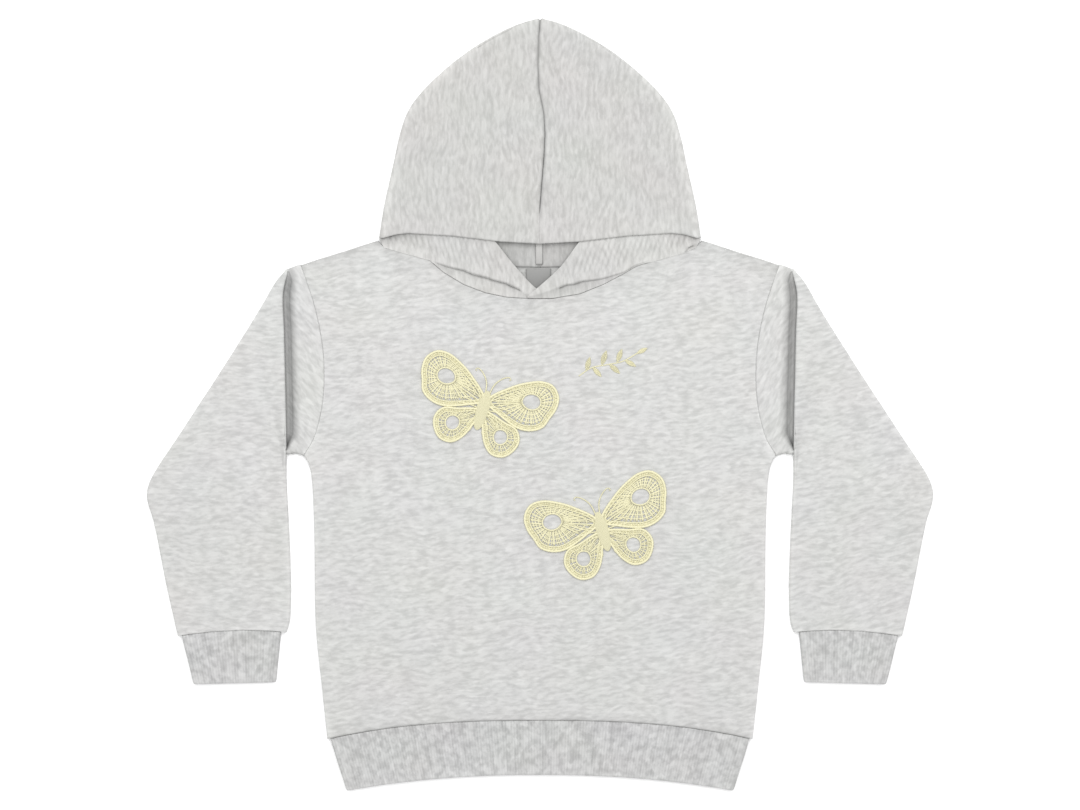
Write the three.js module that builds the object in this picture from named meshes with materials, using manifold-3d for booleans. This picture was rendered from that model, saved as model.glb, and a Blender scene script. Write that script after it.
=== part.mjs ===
// Toddler pullover hoodie laid flat on its back, with a hood, ribbed cuffs and hem and two lace butterflies.
// Millimetres, +Z up. The hood points to +Y, and left and right are as seen from above.
// The origin is on the floor, under the middle of the garment's outline.
import * as THREE from 'three';
import { mergeVertices } from 'three/addons/utils/BufferGeometryUtils.js';
import Module from 'manifold-3d';

const wasm = await Module();
wasm.setup();

// Driving sizes. Heights h run up the garment from the lowest point of its hem.
const LENGTH = 603;
const CLOTH = 1.6;
const RIB_CLOTH = 2.2;
const SEAM = 0.3;
const LACE_WEB = 1.0;
const LACE_CORD = 1.8;
const RIB_PITCH = 2.1;
const RIB_DEPTH = 0.35;

// Heights over the floor of the middle of the cloth in each layer.
const Z = {
  back: CLOTH / 2,
  edge: 2.7,
  seam: 4.6,
  front: 5.8,
  neck: 4.8,
  sleeve: 5.4,
  pleatLow: 2.8,
  foldTop: 7.4,
  lip: 4.2,
  lipUnder: 3.9,
  lipOver: 5.8,
  tongue: 3.45,
  crown: 5.0,
  crownEdge: 6.1,
};
const EDGE_ROUND = 7;
const BAND_TOP = 5.6;
const CUFF_TOP = 5.4;

// Outlines of the right-hand half, x from the middle line. The left-hand half mirrors them.
const SIDE_SEAM = [
  { x: 165.5, h: 40.5 },
  { x: 170, h: 83 },
  { x: 174.5, h: 128 },
  { x: 176, h: 200 },
  { x: 178, h: 245 },
  { x: 178.6, h: 255.8 },
];
const ARMHOLE = [
  { x: 178.6, h: 255.8 },
  { x: 177.8, h: 273 },
  { x: 171, h: 297 },
  { x: 168.2, h: 324.5 },
  { x: 170, h: 351 },
  { x: 176.3, h: 380.3 },
  { x: 186.7, h: 410.3 },
];
const SHOULDER = [
  { x: 186.7, h: 410.3 },
  { x: 156, h: 419 },
  { x: 126.4, h: 428.2 },
];
const SLEEVE_OUTER = [
  { x: 282.4, h: 124.5 },
  { x: 291.7, h: 164.6 },
  { x: 301, h: 211.4 },
  { x: 305.2, h: 224 },
  { x: 306, h: 233 },
  { x: 303.6, h: 242 },
  { x: 279.2, h: 281.6 },
  { x: 248.8, h: 328.4 },
  { x: 219.2, h: 375.2 },
  { x: 204.4, h: 398.6 },
  { x: 196.6, h: 406.4 },
];
const SLEEVE_INNER = [
  { x: 199.5, h: 124.5 },
  { x: 196.3, h: 131 },
  { x: 195, h: 153 },
  { x: 195, h: 188 },
  { x: 196.6, h: 223 },
  { x: 198, h: 246.5 },
  { x: 196.6, h: 263.6 },
];
const SLEEVE_FOLD = [
  { x: 196.6, h: 406.4 },
  { x: 200.8, h: 388 },
  { x: 199.7, h: 360 },
  { x: 199, h: 330 },
  { x: 198, h: 294 },
  { x: 196.6, h: 263.6 },
];
const CUFF = {
  topOuter: 280.5,
  topInner: 201.5,
  topH: 124.5,
  lowOuter: 269.3,
  lowInner: 205.8,
  lowH: 83.2,
  lowTilt: 1.6,
};
const BAND = {
  topHalf: 164.5,
  lowHalf: 150.5,
  seamH: 55,
  seamDip: 14.5,
  seamPower: 2.6,
  lowRise: 12.5,
  lowPower: 2.2,
};
const HOOD_SIDE = [
  { x: 1.5, h: 602.8 },
  { x: 20, h: 596.7 },
  { x: 54, h: 578 },
  { x: 88, h: 549.9 },
  { x: 102.5, h: 531.2 },
  { x: 109, h: 512.5 },
  { x: 113.9, h: 490 },
  { x: 121.5, h: 456.3 },
  { x: 125.6, h: 431.3 },
];
const CROWN_EDGE = [
  { x: 125.6, h: 431.3 },
  { x: 115.5, h: 434 },
  { x: 106, h: 435 },
  { x: 70, h: 432.9 },
  { x: 33, h: 428.6 },
  { x: 0, h: 426.7 },
];
const BACK_NECK = [
  { x: 121.7, h: 424.4 },
  { x: 105, h: 418.5 },
  { x: 84, h: 413.5 },
  { x: 58, h: 410.5 },
  { x: 30, h: 409 },
  { x: 0, h: 408.5 },
];
// The front neck seam, from the left shoulder to the right one, and the free edges of the two hood lips.
const FRONT_NECK = [
  { x: -121.7, h: 424.4 },
  { x: -108.4, h: 420.4 },
  { x: -96.7, h: 417.3 },
  { x: -86.2, h: 414.2 },
  { x: -75.7, h: 404.8 },
  { x: -59.3, h: 394.9 },
  { x: -42.9, h: 388.6 },
  { x: -26.5, h: 385.2 },
  { x: -10, h: 384.2 },
  { x: 10, h: 384.2 },
  { x: 31.2, h: 387.7 },
  { x: 49, h: 394.9 },
  { x: 64, h: 402.7 },
  { x: 75, h: 409.2 },
  { x: 92, h: 414.5 },
  { x: 112.3, h: 420 },
  { x: 121.7, h: 424.4 },
];
const LEFT_LIP_EDGE = [
  { x: -124.8, h: 434 },
  { x: -100, h: 438 },
  { x: -60, h: 438 },
  { x: -40, h: 434.5 },
  { x: -33.5, h: 427 },
  { x: -19.5, h: 409.5 },
  { x: -3.5, h: 392.6 },
  { x: 7, h: 386.5 },
];
const RIGHT_LIP_EDGE = [
  { x: -10, h: 385.9 },
  { x: -3.1, h: 391.5 },
  { x: 16.4, h: 409.5 },
  { x: 29, h: 426.5 },
  { x: 36, h: 434.5 },
  { x: 60, h: 438 },
  { x: 100, h: 438 },
  { x: 124.8, h: 434 },
];

const TAPE = { x: -0.7, width: 5.4, low: 411, high: 441, thick: 0.8 };
const LABEL = { x: -1.2, width: 19.5, low: 388, high: 407.5, thick: 0.8 };

// One wing of each kind in the butterfly's own frame: out from its body, and up towards its head.
const FOREWING = [
  { out: 0.5, up: 4 },
  { out: 16.5, up: 21 },
  { out: 29, up: 29 },
  { out: 40, up: 33 },
  { out: 50, up: 32 },
  { out: 57, up: 24 },
  { out: 57.5, up: 14 },
  { out: 54.5, up: 5 },
  { out: 51.5, up: -3 },
  { out: 43.5, up: -8.5 },
  { out: 32, up: -10 },
  { out: 12, up: -3 },
];
const HINDWING = [
  { out: 0.5, up: -4 },
  { out: 20, up: -7.5 },
  { out: 32, up: -11 },
  { out: 36.5, up: -20 },
  { out: 34, up: -29 },
  { out: 27, up: -36 },
  { out: 17, up: -36.5 },
  { out: 9, up: -29.5 },
  { out: 3.5, up: -17 },
];
const WINDOWS = {
  fore: { out: 36.5, up: 14.5, halfOut: 8.5, halfUp: 7 },
  hind: { out: 20.5, up: -20, halfOut: 7, halfUp: 7.5 },
};
const ANTENNA = [
  { out: 1.2, up: 7 },
  { out: 3.5, up: 19 },
  { out: 9, up: 26 },
  { out: 13.5, up: 28 },
];
const ANTENNA_RADIUS = 0.7;
const BODY = { halfWidth: 5.5, halfLength: 14.5, halfHeight: 1.15, up: -2.5 };
const BUTTERFLIES = [
  { name: 'butterfly_upper', x: -43.8, h: 303.5, turn: -17 },
  { name: 'butterfly_lower', x: 49.5, h: 206.5, turn: 17 },
];

const COLOURS = {
  body: '#d8d8d6',
  hood: '#d3d2d0',
  rib: '#c9c9c8',
  lace: '#ece5bf',
  label: '#a2a2a0',
  tape: '#d6d5d2',
};

// A smooth line through the rows of a table, read by its share of the length.
function smoothLine(rows) {
  const stops = rows.map(({ x, h }) => new THREE.Vector3(x, h, 0));
  const curve = new THREE.CatmullRomCurve3(stops, false, 'centripetal');
  return (t) => {
    const point = curve.getPointAt(Math.min(Math.max(t, 0), 1));
    return new THREE.Vector2(point.x, point.y);
  };
}

// A broken line that passes exactly through each row, read from 0 at the first row to 1 at the last.
function brokenLine(rows) {
  return (t) => {
    const place = Math.min(Math.max(t, 0), 1) * (rows.length - 1);
    const first = Math.min(Math.floor(place), rows.length - 2);
    const share = place - first;
    const a = rows[first];
    const b = rows[first + 1];
    return new THREE.Vector2(a.x + (b.x - a.x) * share, a.h + (b.h - a.h) * share);
  };
}

const mirrorRows = (rows) => rows.map(({ x, h }) => ({ x: -x, h }));
const at = (x, h) => new THREE.Vector2(x, h);
const mix = THREE.MathUtils.lerp;
const ease = THREE.MathUtils.smoothstep;

// A flat patch between four lines: across runs along the low and high ones, up along the other two.
function patch(low, high, left, right) {
  const corners = [low(0), low(1), high(0), high(1)];
  return (across, up) => {
    const point = new THREE.Vector2();
    point.addScaledVector(low(across), 1 - up).addScaledVector(high(across), up);
    point.addScaledVector(left(up), 1 - across).addScaledVector(right(up), across);
    point.addScaledVector(corners[0], -(1 - across) * (1 - up));
    point.addScaledVector(corners[1], -across * (1 - up));
    point.addScaledVector(corners[2], -(1 - across) * up);
    point.addScaledVector(corners[3], -across * up);
    return point;
  };
}

const lift = (flat, z) => new THREE.Vector3(flat.x, flat.y, z);

// The height of cloth that rounds down to a low border, at a distance from it.
function rounded(distance, low, high, reach = EDGE_ROUND) {
  const share = Math.min(Math.max(distance / reach, 0), 1);
  return low + (high - low) * Math.sqrt(1 - (1 - share) ** 2);
}

// The cloth's outward direction at a point. On a free border it keeps the border's face upright.
function normalAt(grid, row, column, round) {
  const last = grid.length - 1;
  const columns = grid[row].length;
  const before = round ? (column + columns - 1) % columns : Math.max(column - 1, 0);
  const after = round ? (column + 1) % columns : Math.min(column + 1, columns - 1);
  const across = grid[row][after].clone().sub(grid[row][before]);
  const up = grid[Math.min(row + 1, last)][column].clone().sub(grid[Math.max(row - 1, 0)][column]);
  if (row === 0 || row === last) {
    up.z = 0;
  }
  if (!round && (column === 0 || column === columns - 1)) {
    across.z = 0;
  }
  return across.cross(up).normalize();
}

function closedMesh(points, faces) {
  const geometry = new THREE.BufferGeometry();
  geometry.setAttribute('position', new THREE.Float32BufferAttribute(points.flatMap((p) => p.toArray()), 3));
  geometry.setIndex(faces);
  return geometry;
}

// A wall of cloth from a grid of points on its middle, moved out both ways and closed round its border.
// The rows of a round wall join up into rings.
function clothWall(grid, thickness = CLOTH, round = false) {
  const points = [];
  const faces = [];
  const side = (way) => grid.map((row, j) => row.map((middle, i) => {
    points.push(middle.clone().addScaledVector(normalAt(grid, j, i, round), (way * thickness) / 2));
    return points.length - 1;
  }));
  const outer = side(1);
  const inner = side(-1);
  const quad = (a, b, c, d) => faces.push(a, b, c, a, c, d);
  const columns = grid[0].length;
  const last = grid.length - 1;
  for (let i = 0; i < (round ? columns : columns - 1); i += 1) {
    const k = (i + 1) % columns;
    for (let j = 0; j < last; j += 1) {
      quad(outer[j][i], outer[j][k], outer[j + 1][k], outer[j + 1][i]);
      quad(inner[j][i], inner[j + 1][i], inner[j + 1][k], inner[j][k]);
    }
    quad(inner[0][i], inner[0][k], outer[0][k], outer[0][i]);
    quad(outer[last][i], outer[last][k], inner[last][k], inner[last][i]);
  }
  for (let j = 0; j < (round ? 0 : last); j += 1) {
    const end = columns - 1;
    quad(outer[j][0], outer[j + 1][0], inner[j + 1][0], inner[j][0]);
    quad(inner[j][end], inner[j + 1][end], outer[j + 1][end], outer[j][end]);
  }
  return closedMesh(points, faces);
}

// The same surface with its inside and outside exchanged.
function flipped(geometry) {
  const copy = geometry.clone();
  const index = Array.from(copy.index.array);
  for (let i = 0; i < index.length; i += 3) {
    [index[i + 1], index[i + 2]] = [index[i + 2], index[i + 1]];
  }
  copy.setIndex(index);
  return copy;
}

function mirrored(geometry) {
  const copy = flipped(geometry);
  copy.scale(-1, 1, 1);
  return copy;
}

function toManifold(geometry) {
  const bare = geometry.clone();
  bare.deleteAttribute('normal');
  bare.deleteAttribute('uv');
  const merged = mergeVertices(bare, 1e-4);
  return new wasm.Manifold(new wasm.Mesh({
    numProp: 3,
    vertProperties: new Float32Array(merged.attributes.position.array),
    triVerts: new Uint32Array(merged.index.array),
  }));
}

function joined(geometries) {
  const whole = geometries.map(toManifold).reduce((sum, next) => sum.add(next)).getMesh();
  const geometry = new THREE.BufferGeometry();
  geometry.setAttribute('position', new THREE.Float32BufferAttribute(whole.vertProperties, 3));
  geometry.setIndex(Array.from(whole.triVerts));
  return geometry;
}

// Low soft undulations of the cloth, laid over each panel's own height.
function softWave(x, h) {
  return 0.25 * Math.sin(x / 31 + h / 47) + 0.2 * Math.sin(h / 23 - x / 67 + 1.3);
}

// Shares along the armhole, from the shoulder to the underarm, at which its pieces have their points.
const ARM_ROUND = (Z.seam - Z.back) / 2;
const ARM_LENGTH = 160;
const END_SHARES = [0, (0.3 * ARM_ROUND) / ARM_LENGTH, ARM_ROUND / ARM_LENGTH];
const END_RISE = [0.5, 0.85, 1];
const FRONT_ARM_SHARES = [0.1, 0.25, 0.4, 0.55, 0.7, 0.85];
const BACK_ARM_SHARES = [0.2, 0.5, 0.8];
const withEnds = (shares) => [...END_SHARES, ...shares, ...END_SHARES.map((share) => 1 - share).reverse()];
const SEAM_SHARES = [0, 0.02, 0.05, 0.2, 0.45, 0.7, 0.92];
const armhole = smoothLine(ARMHOLE.toReversed());

// The line up a panel's right-hand border: first the side seam, then the armhole.
function panelSide(armShares) {
  const seam = smoothLine(SIDE_SEAM);
  return [...SEAM_SHARES.map(seam), ...withEnds(armShares).reverse().map(armhole)];
}

// The height of the border beside a row at height h: low at the side seam, raised where the sleeve joins.
function panelBorder(h) {
  return mix(Z.edge, Z.seam, ease(h, 252, 272) * (1 - ease(h, 396, 410)));
}

// The height of the front's top border: low along the shoulder, raised at the neck seam.
function neckBorder(x) {
  return mix(Z.neck, Z.edge, ease(Math.abs(x), 84, 122));
}

function hemSeam(x) {
  return BAND.seamH - BAND.seamDip * (Math.abs(x) / BAND.topHalf) ** BAND.seamPower;
}

function frontHeight(x, h) {
  return Z.front + softWave(x, h);
}

// A body panel's points. Its top border runs over the shoulders and along the neck.
function panelGrid(neckRows, armShares, isFront) {
  const shoulder = [0, 0.05, 0.13, 0.4, 0.7, 1].map(smoothLine(SHOULDER)).map(({ x, y }) => ({ x, h: y }));
  const top = [...mirrorRows(shoulder), ...neckRows, ...shoulder.toReversed()];
  const side = panelSide(armShares);
  const topHalf = shoulder[0].x;
  return side.map((border) => top.map((crest) => {
    const across = crest.x / topHalf;
    const x = across * (border.x - SEAM / 2);
    const low = hemSeam(across * BAND.topHalf) + SEAM / 2;
    const rise = (border.y - side[0].y) / (side[side.length - 1].y - side[0].y);
    const h = mix(low, crest.h - SEAM / 2, rise);
    if (!isFront) {
      return new THREE.Vector3(x, h, Z.back);
    }
    const full = frontHeight(x, h);
    const z = Math.min(
      rounded((1 - Math.abs(across)) * border.x, panelBorder(border.y), full),
      rounded(h - low, Z.seam, full),
      rounded(crest.h - SEAM / 2 - h, neckBorder(crest.x), full),
    );
    return new THREE.Vector3(x, h, z);
  }));
}

// The sleeve's front hangs over its armhole in a pleat: under the fold, back to it, and out again.
const PLEAT_DEPTH = 12;
const PLEAT_START = -6;
const PLEAT_BEND = 0.95;
const PLEAT_ENDS = [0.04, 0.35, 0.8, 0.96];
// The strip between the armhole and the fold: its cloth puffs up, then drops steeply in under the fold.
const STRIP_STEPS = [
  { part: 0, puff: 0 },
  { part: 0.3, puff: 1.5 },
  { part: 0.58, puff: 2.3 },
  { part: 0.7, puff: 2.0 },
  { part: 0.8, puff: 0 },
];
const UNDERARM_RISE = 4.5;
const SLEEVE_DOWNS = [0.03, 0.07, 0.16, 0.28, 0.42, 0.56, 0.7, 0.84, 0.95, 1];
const fold = smoothLine(SLEEVE_FOLD);

function pleatAmount(share) {
  return ease(share, PLEAT_ENDS[0], PLEAT_ENDS[1]) * (1 - ease(share, PLEAT_ENDS[2], PLEAT_ENDS[3]));
}

// The pleat's section: two bends and the straight between them, as steps out from the fold and heights.
function pleatSection(reach, low, high) {
  const [ax, az, bx, bz] = [reach, low + PLEAT_BEND, PLEAT_BEND, high - PLEAT_BEND];
  const apart = Math.hypot(bx - ax, bz - az);
  const heading = Math.atan2(bz - az, bx - ax) + Math.asin(Math.min((2 * PLEAT_BEND) / apart, 1));
  const turns = [0, heading / 2, heading];
  return [
    ...turns.map((a) => ({ out: ax + PLEAT_BEND * Math.sin(a), z: az - PLEAT_BEND * Math.cos(a) })),
    ...turns.toReversed().map((a) => (
      { out: bx - PLEAT_BEND * Math.sin(a), z: bz + PLEAT_BEND * Math.cos(a) }
    )),
  ];
}

// One line of the sleeve from the armhole to the cuff, at a share of the way round from its top edge.
function sleeveLine(share, isFront) {
  const start = armhole(share).add(at(SEAM / 2 + 0.4 * ease(share, 0.9, 1), 0));
  const edge = fold(share);
  const way = edge.clone().sub(start).normalize();
  const amount = isFront ? pleatAmount(share) : 0;
  const spread = isFront ? ease(share, 0, PLEAT_ENDS[1]) * (1 - ease(share, PLEAT_ENDS[2], 1)) : 0;
  const low = mix(Z.seam, Z.pleatLow, spread);
  const high = mix(Z.sleeve, Z.foldTop, spread);
  const reach = mix(PLEAT_START, PLEAT_DEPTH, amount);
  const arch = UNDERARM_RISE * ease(share, 0.85, 1);
  const section = pleatSection(reach, low, high);
  const firstOut = Math.min(reach, -1);
  const line = STRIP_STEPS.map(({ part, puff }) => {
    const flat = start.clone().lerp(edge.clone().addScaledVector(way, firstOut), part);
    return { flat, z: mix(Z.seam, low, ease(part, 0, 0.8)) + puff * amount, part };
  });
  section.forEach(({ out, z }) => line.push({ flat: edge.clone().addScaledVector(way, out), z, part: 1 }));
  line.forEach((step) => {
    step.flat.y += arch * Math.sin(Math.PI * Math.min(step.part, 0.9));
  });
  SLEEVE_DOWNS.forEach((down) => {
    const flat = sleevePlan(share, 1 - down);
    const settled = mix(high, Z.sleeve + softWave(flat.x, flat.y), ease(down, 0.03, 0.2));
    line.push({ flat, z: mix(settled, Z.seam, ease(down, 0.93, 1)), part: 1 });
  });
  return line;
}

const sleevePlan = patch(
  brokenLine([SLEEVE_OUTER[0], SLEEVE_INNER[0]].map(({ x, h }) => ({ x, h: h + SEAM / 2 }))),
  fold,
  smoothLine(SLEEVE_OUTER),
  smoothLine(SLEEVE_INNER),
);

function sleeve() {
  const front = withEnds(FRONT_ARM_SHARES).map((share) => sleeveLine(share, true));
  const back = withEnds(BACK_ARM_SHARES).slice(1, -1).reverse().map((share) => sleeveLine(share, false));
  const ends = END_RISE.length;
  const grid = front[0].map((_, row) => {
    const over = front.map((line, i) => {
      const rise = END_RISE[Math.min(i, front.length - 1 - i, ends - 1)];
      return lift(line[row].flat, mix(Z.back, line[row].z, rise));
    });
    const under = back.map((line, i) => {
      const rise = 1 - END_RISE[Math.min(i + 1, back.length - i, ends - 1)];
      return lift(line[row].flat, mix(Z.back, front[0][row].z, rise));
    });
    return [...over, ...under];
  });
  return clothWall(grid, CLOTH, true);
}

// Two rings with different numbers of points, joined into one end face.
function zipRings(faces, outer, inner, isLow) {
  const push = (a, b, c) => (isLow ? faces.push(a, b, c) : faces.push(a, c, b));
  let i = 0;
  let j = 0;
  while (i < outer.length || j < inner.length) {
    const a = outer[i % outer.length].id;
    const b = inner[j % inner.length].id;
    const nextA = i + 1 < outer.length ? outer[i + 1].key : 2;
    const nextB = j + 1 < inner.length ? inner[j + 1].key : 2;
    if (i < outer.length && (nextA <= nextB || j >= inner.length)) {
      push(b, outer[(i + 1) % outer.length].id, a);
      i += 1;
    } else {
      push(b, inner[(j + 1) % inner.length].id, a);
      j += 1;
    }
  }
}

// A flat tube of ribbed cloth, doubled over. Its top is ribbed, and its inside and underside are plain.
// Each row of its top is a share of the way down from the seam, sunk towards the folded edge and the seam.
const RIB_ROWS = [
  { down: 1, sink: 0.9 },
  { down: 0.95, sink: 0 },
  { down: 0.04, sink: 0 },
  { down: 0, sink: 0.5 },
];
const PLAIN_SHARES = [0.03, 0.12, 0.25, 0.4, 0.6, 0.75, 0.88, 0.97];
const RIB_SIDE_ROUND = 3;
const RIB_HOLLOW = { top: 0.9, bottom: 0.3 };

function ribbedTube({ plan, width, top }) {
  const columns = Math.round(width / RIB_PITCH) * 2;
  const points = [];
  const faces = [];
  const addRing = (list) => list.map(({ key, flat, z }) => {
    points.push(lift(flat, z));
    return { key, id: points.length - 1 };
  });
  const outer = RIB_ROWS.map(({ down, sink }) => addRing([
    { key: 0, flat: plan(0, down), z: top / 2 },
    ...Array.from({ length: columns - 1 }, (_, i) => {
      const across = (i + 1) / columns;
      const fromSide = Math.min(across, 1 - across) * width;
      const z = rounded(fromSide, top / 2, top - sink, RIB_SIDE_ROUND) - (i % 2 ? RIB_DEPTH : 0);
      return { key: across, flat: plan(across, down), z };
    }),
    { key: 1, flat: plan(1, down), z: top / 2 },
    ...PLAIN_SHARES.map((share) => ({ key: 1 + share, flat: plan(1 - share, down), z: 0 })),
  ]));
  const inset = RIB_CLOTH / width;
  const innerShares = PLAIN_SHARES.map((share) => mix(1.5 * inset, 1 - 1.5 * inset, share));
  const inner = [1, 0].map((down) => addRing([
    { key: 0, flat: plan(inset, down), z: top / 2 },
    ...innerShares.map((share) => (
      { key: share, flat: plan(share, down), z: top - RIB_CLOTH - RIB_HOLLOW.top }
    )),
    { key: 1, flat: plan(1 - inset, down), z: top / 2 },
    ...innerShares.map((share) => (
      { key: 1 + share, flat: plan(1 - share, down), z: RIB_CLOTH - RIB_HOLLOW.bottom }
    )),
  ]));
  const skin = (rings, isOut) => rings.slice(0, -1).forEach((ring, row) => ring.forEach(({ id }, i) => {
    const k = (i + 1) % ring.length;
    const [a, b, c, d] = [id, ring[k].id, rings[row + 1][k].id, rings[row + 1][i].id];
    faces.push(...(isOut ? [a, b, c, a, c, d] : [a, c, b, a, d, c]));
  }));
  skin(outer, true);
  skin(inner, false);
  zipRings(faces, outer[0], inner[0], true);
  zipRings(faces, outer[RIB_ROWS.length - 1], inner[1], false);
  return closedMesh(points, faces);
}

function hemBand() {
  const plan = (across, down) => {
    const side = 2 * across - 1;
    const high = at(side * BAND.topHalf, hemSeam(side * BAND.topHalf) - SEAM / 2);
    const low = at(side * BAND.lowHalf, BAND.lowRise * (1 - Math.abs(side) ** BAND.lowPower));
    return high.lerp(low, down);
  };
  return ribbedTube({ plan, width: 2 * BAND.lowHalf, top: BAND_TOP });
}

function cuff() {
  const plan = (across, down) => {
    const high = at(mix(CUFF.topInner, CUFF.topOuter, across), CUFF.topH - SEAM / 2);
    const low = at(mix(CUFF.lowInner, CUFF.lowOuter, across), CUFF.lowH + CUFF.lowTilt * (1 - across));
    return high.lerp(low, down);
  };
  return ribbedTube({ plan, width: CUFF.lowOuter - CUFF.lowInner, top: CUFF_TOP });
}

const HOOD_DOWNS = [0.03, 0.06, 0.12, 0.22, 0.33, 0.45, 0.57, 0.69, 0.8, 0.9, 0.96, 1];
const CROWN_SHARES = [0.03, 0.08, 0.2, 0.35, 0.5, 0.65, 0.8, 0.93, 1];
const CENTRE_GROOVE = 0.6;
// The side fold's section, as steps in from its outermost point and up or down from its middle.
const SIDE_FOLD = [[1, -1], [0.3, -0.71], [0, 0], [0.3, 0.71], [1, 1]];

// The right half of the hood: its back layer, the fold at its side and the crown over it.
function hoodHalf() {
  const side = smoothLine(HOOD_SIDE);
  const inset = CLOTH / 2;
  const crownZ = (down) => mix(Z.crown, Z.crownEdge, ease(down, 0.55, 0.95));
  const layer = (lowRow, down, centreLow) => {
    const border = side(down);
    const corner = side(1);
    const share = lowRow.x / corner.x;
    const bend = down ** 3 * (lowRow.h - mix(centreLow, corner.y, share));
    const centreH = mix(LENGTH - 0.8, centreLow, down);
    return at(Math.max(share * (border.x - inset), SEAM / 2), mix(centreH, border.y, share) + bend);
  };
  const backRows = BACK_NECK.toReversed().map(({ x, h }) => ({ x, h: h + SEAM / 2 }));
  const edge = brokenLine(CROWN_EDGE);
  const crownRows = CROWN_SHARES.map(edge).map(({ x, y }) => ({ x, h: y }));
  const grid = HOOD_DOWNS.map((down) => {
    const round = (crownZ(down) - Z.back) / 2;
    const middle = Z.back + round;
    const border = side(down);
    const foldPoints = SIDE_FOLD.map(([inward, rise]) => {
      const squeeze = Math.min(1, border.x / 12);
      const x = Math.max(border.x - inset - inward * round * squeeze, SEAM / 2 + 0.2 * (1 - inward));
      const h = border.y - (inset + inward * CENTRE_GROOVE) * (1 - down);
      return new THREE.Vector3(x, h, middle + rise * round);
    });
    const backCentre = BACK_NECK[5].h + SEAM / 2;
    const back = backRows.slice(0, -1).map((row) => lift(layer(row, down, backCentre), Z.back));
    const crown = crownRows.map((row, i) => {
      const groove = i === crownRows.length - 1 ? CENTRE_GROOVE : 0;
      const flat = layer(row, down, CROWN_EDGE[5].h);
      const wave = softWave(flat.x, flat.y) * ease(1 - down, 0, 0.2) * Math.min(1, border.x / 60);
      return lift(flat, crownZ(down) + wave - groove);
    });
    return [...back, ...foldPoints, ...crown.slice(1)];
  });
  return clothWall(grid);
}

// The lower part of a hood half, from the neck seam to its free edge and on under the crown.
function hoodLip(lowRows, edgeRows, isOver) {
  const edge = smoothLine(edgeRows);
  const lapTop = isOver ? Z.lipOver : Z.lipUnder;
  const grid = [0, 0.12, 0.4, 0.7, 1].map((up) => lowRows.map((row, i) => {
    const free = edge(i / (lowRows.length - 1));
    const flat = at(row.x, row.h + SEAM / 2).lerp(free, up);
    const reach = isOver ? -flat.x : flat.x;
    const lap = ease(reach, -30, -12);
    const plain = mix(Z.seam, Z.lip, ease(flat.y, 412, 426));
    const end = ease(Math.abs(flat.x), 96, 124);
    return lift(flat, mix(mix(plain, lapTop, lap), Z.tongue, end));
  }));
  return clothWall(grid);
}

function strip({ x, width, low, high, thick }) {
  const z = CLOTH + SEAM + thick / 2;
  const sides = [x - width / 2, x + width / 2];
  const grid = [low, (low + high) / 2, high].map((h) => sides.map((edge) => new THREE.Vector3(edge, h, z)));
  return clothWall(grid, thick);
}

// A wing's section from its outline to its window: a thick cord at each edge and a thinner web between.
const WING_COUNT = 24;
const WING_SECTION = [
  { inward: 0, z: 0 },
  { inward: 0.1, z: LACE_CORD },
  { inward: 0.3, z: LACE_WEB },
  { inward: 0.75, z: LACE_WEB },
  { inward: 0.92, z: LACE_CORD - 0.2 },
  { inward: 1, z: 0 },
];

// A closed ring of lace from a wing's outline to its window, its underside a little off the cloth.
function wing(outlineRows, window, place, underside) {
  const corners = outlineRows.map(({ out, up }) => new THREE.Vector3(out, up, 0));
  const outline = new THREE.CatmullRomCurve3(corners, true, 'centripetal');
  const points = [];
  const faces = [];
  const ids = Array.from({ length: WING_COUNT }, (_, i) => {
    const rim = outline.getPointAt(i / WING_COUNT);
    const angle = Math.atan2((rim.y - window.up) / window.halfUp, (rim.x - window.out) / window.halfOut);
    const holeUp = window.up + window.halfUp * Math.sin(angle);
    const hole = at(window.out + window.halfOut * Math.cos(angle), holeUp);
    return WING_SECTION.map(({ inward, z }) => {
      points.push(place(mix(rim.x, hole.x, inward), mix(rim.y, hole.y, inward), Math.max(z, underside)));
      return points.length - 1;
    });
  });
  ids.forEach((column, i) => {
    const next = ids[(i + 1) % WING_COUNT];
    WING_SECTION.forEach((_, k) => {
      const m = (k + 1) % WING_SECTION.length;
      faces.push(column[k], column[m], next[m], column[k], next[m], next[k]);
    });
  });
  return closedMesh(points, faces);
}

// A butterfly of lace, sewn flat on the front: its points lie on the front's own surface, moved out.
function butterfly({ x, h, turn }) {
  const angle = THREE.MathUtils.degToRad(turn);
  const placeSide = (side) => (out, up, z) => {
    const px = x + side * out * Math.cos(angle) - up * Math.sin(angle);
    const ph = h + side * out * Math.sin(angle) + up * Math.cos(angle);
    return new THREE.Vector3(px, ph, frontHeight(px, ph) + CLOTH / 2 + SEAM + z);
  };
  const pieces = [];
  [1, -1].forEach((side) => {
    const place = placeSide(side);
    const wings = [wing(FOREWING, WINDOWS.fore, place, 0.15), wing(HINDWING, WINDOWS.hind, place, 0.05)];
    wings.forEach((piece) => pieces.push(side === 1 ? piece : flipped(piece)));
    const lifted = ANTENNA.map(({ out, up }) => place(out, up, ANTENNA_RADIUS + 0.15));
    const route = new THREE.CatmullRomCurve3(lifted);
    const round = Array.from({ length: 6 }, (_, k) => (k * Math.PI) / 3);
    const section = round.map((a) => at(Math.cos(a), Math.sin(a)).multiplyScalar(ANTENNA_RADIUS));
    const cord = new THREE.Shape(section);
    pieces.push(new THREE.ExtrudeGeometry(cord, { steps: 8, extrudePath: route, curveSegments: 1 }));
  });
  const body = new THREE.SphereGeometry(1, 12, 6);
  body.scale(BODY.halfWidth, BODY.halfLength, BODY.halfHeight);
  body.rotateZ(angle);
  const middle = placeSide(1)(0, BODY.up, BODY.halfHeight + 0.1);
  body.translate(middle.x, middle.y, middle.z);
  return joined([...pieces, body]);
}

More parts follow.
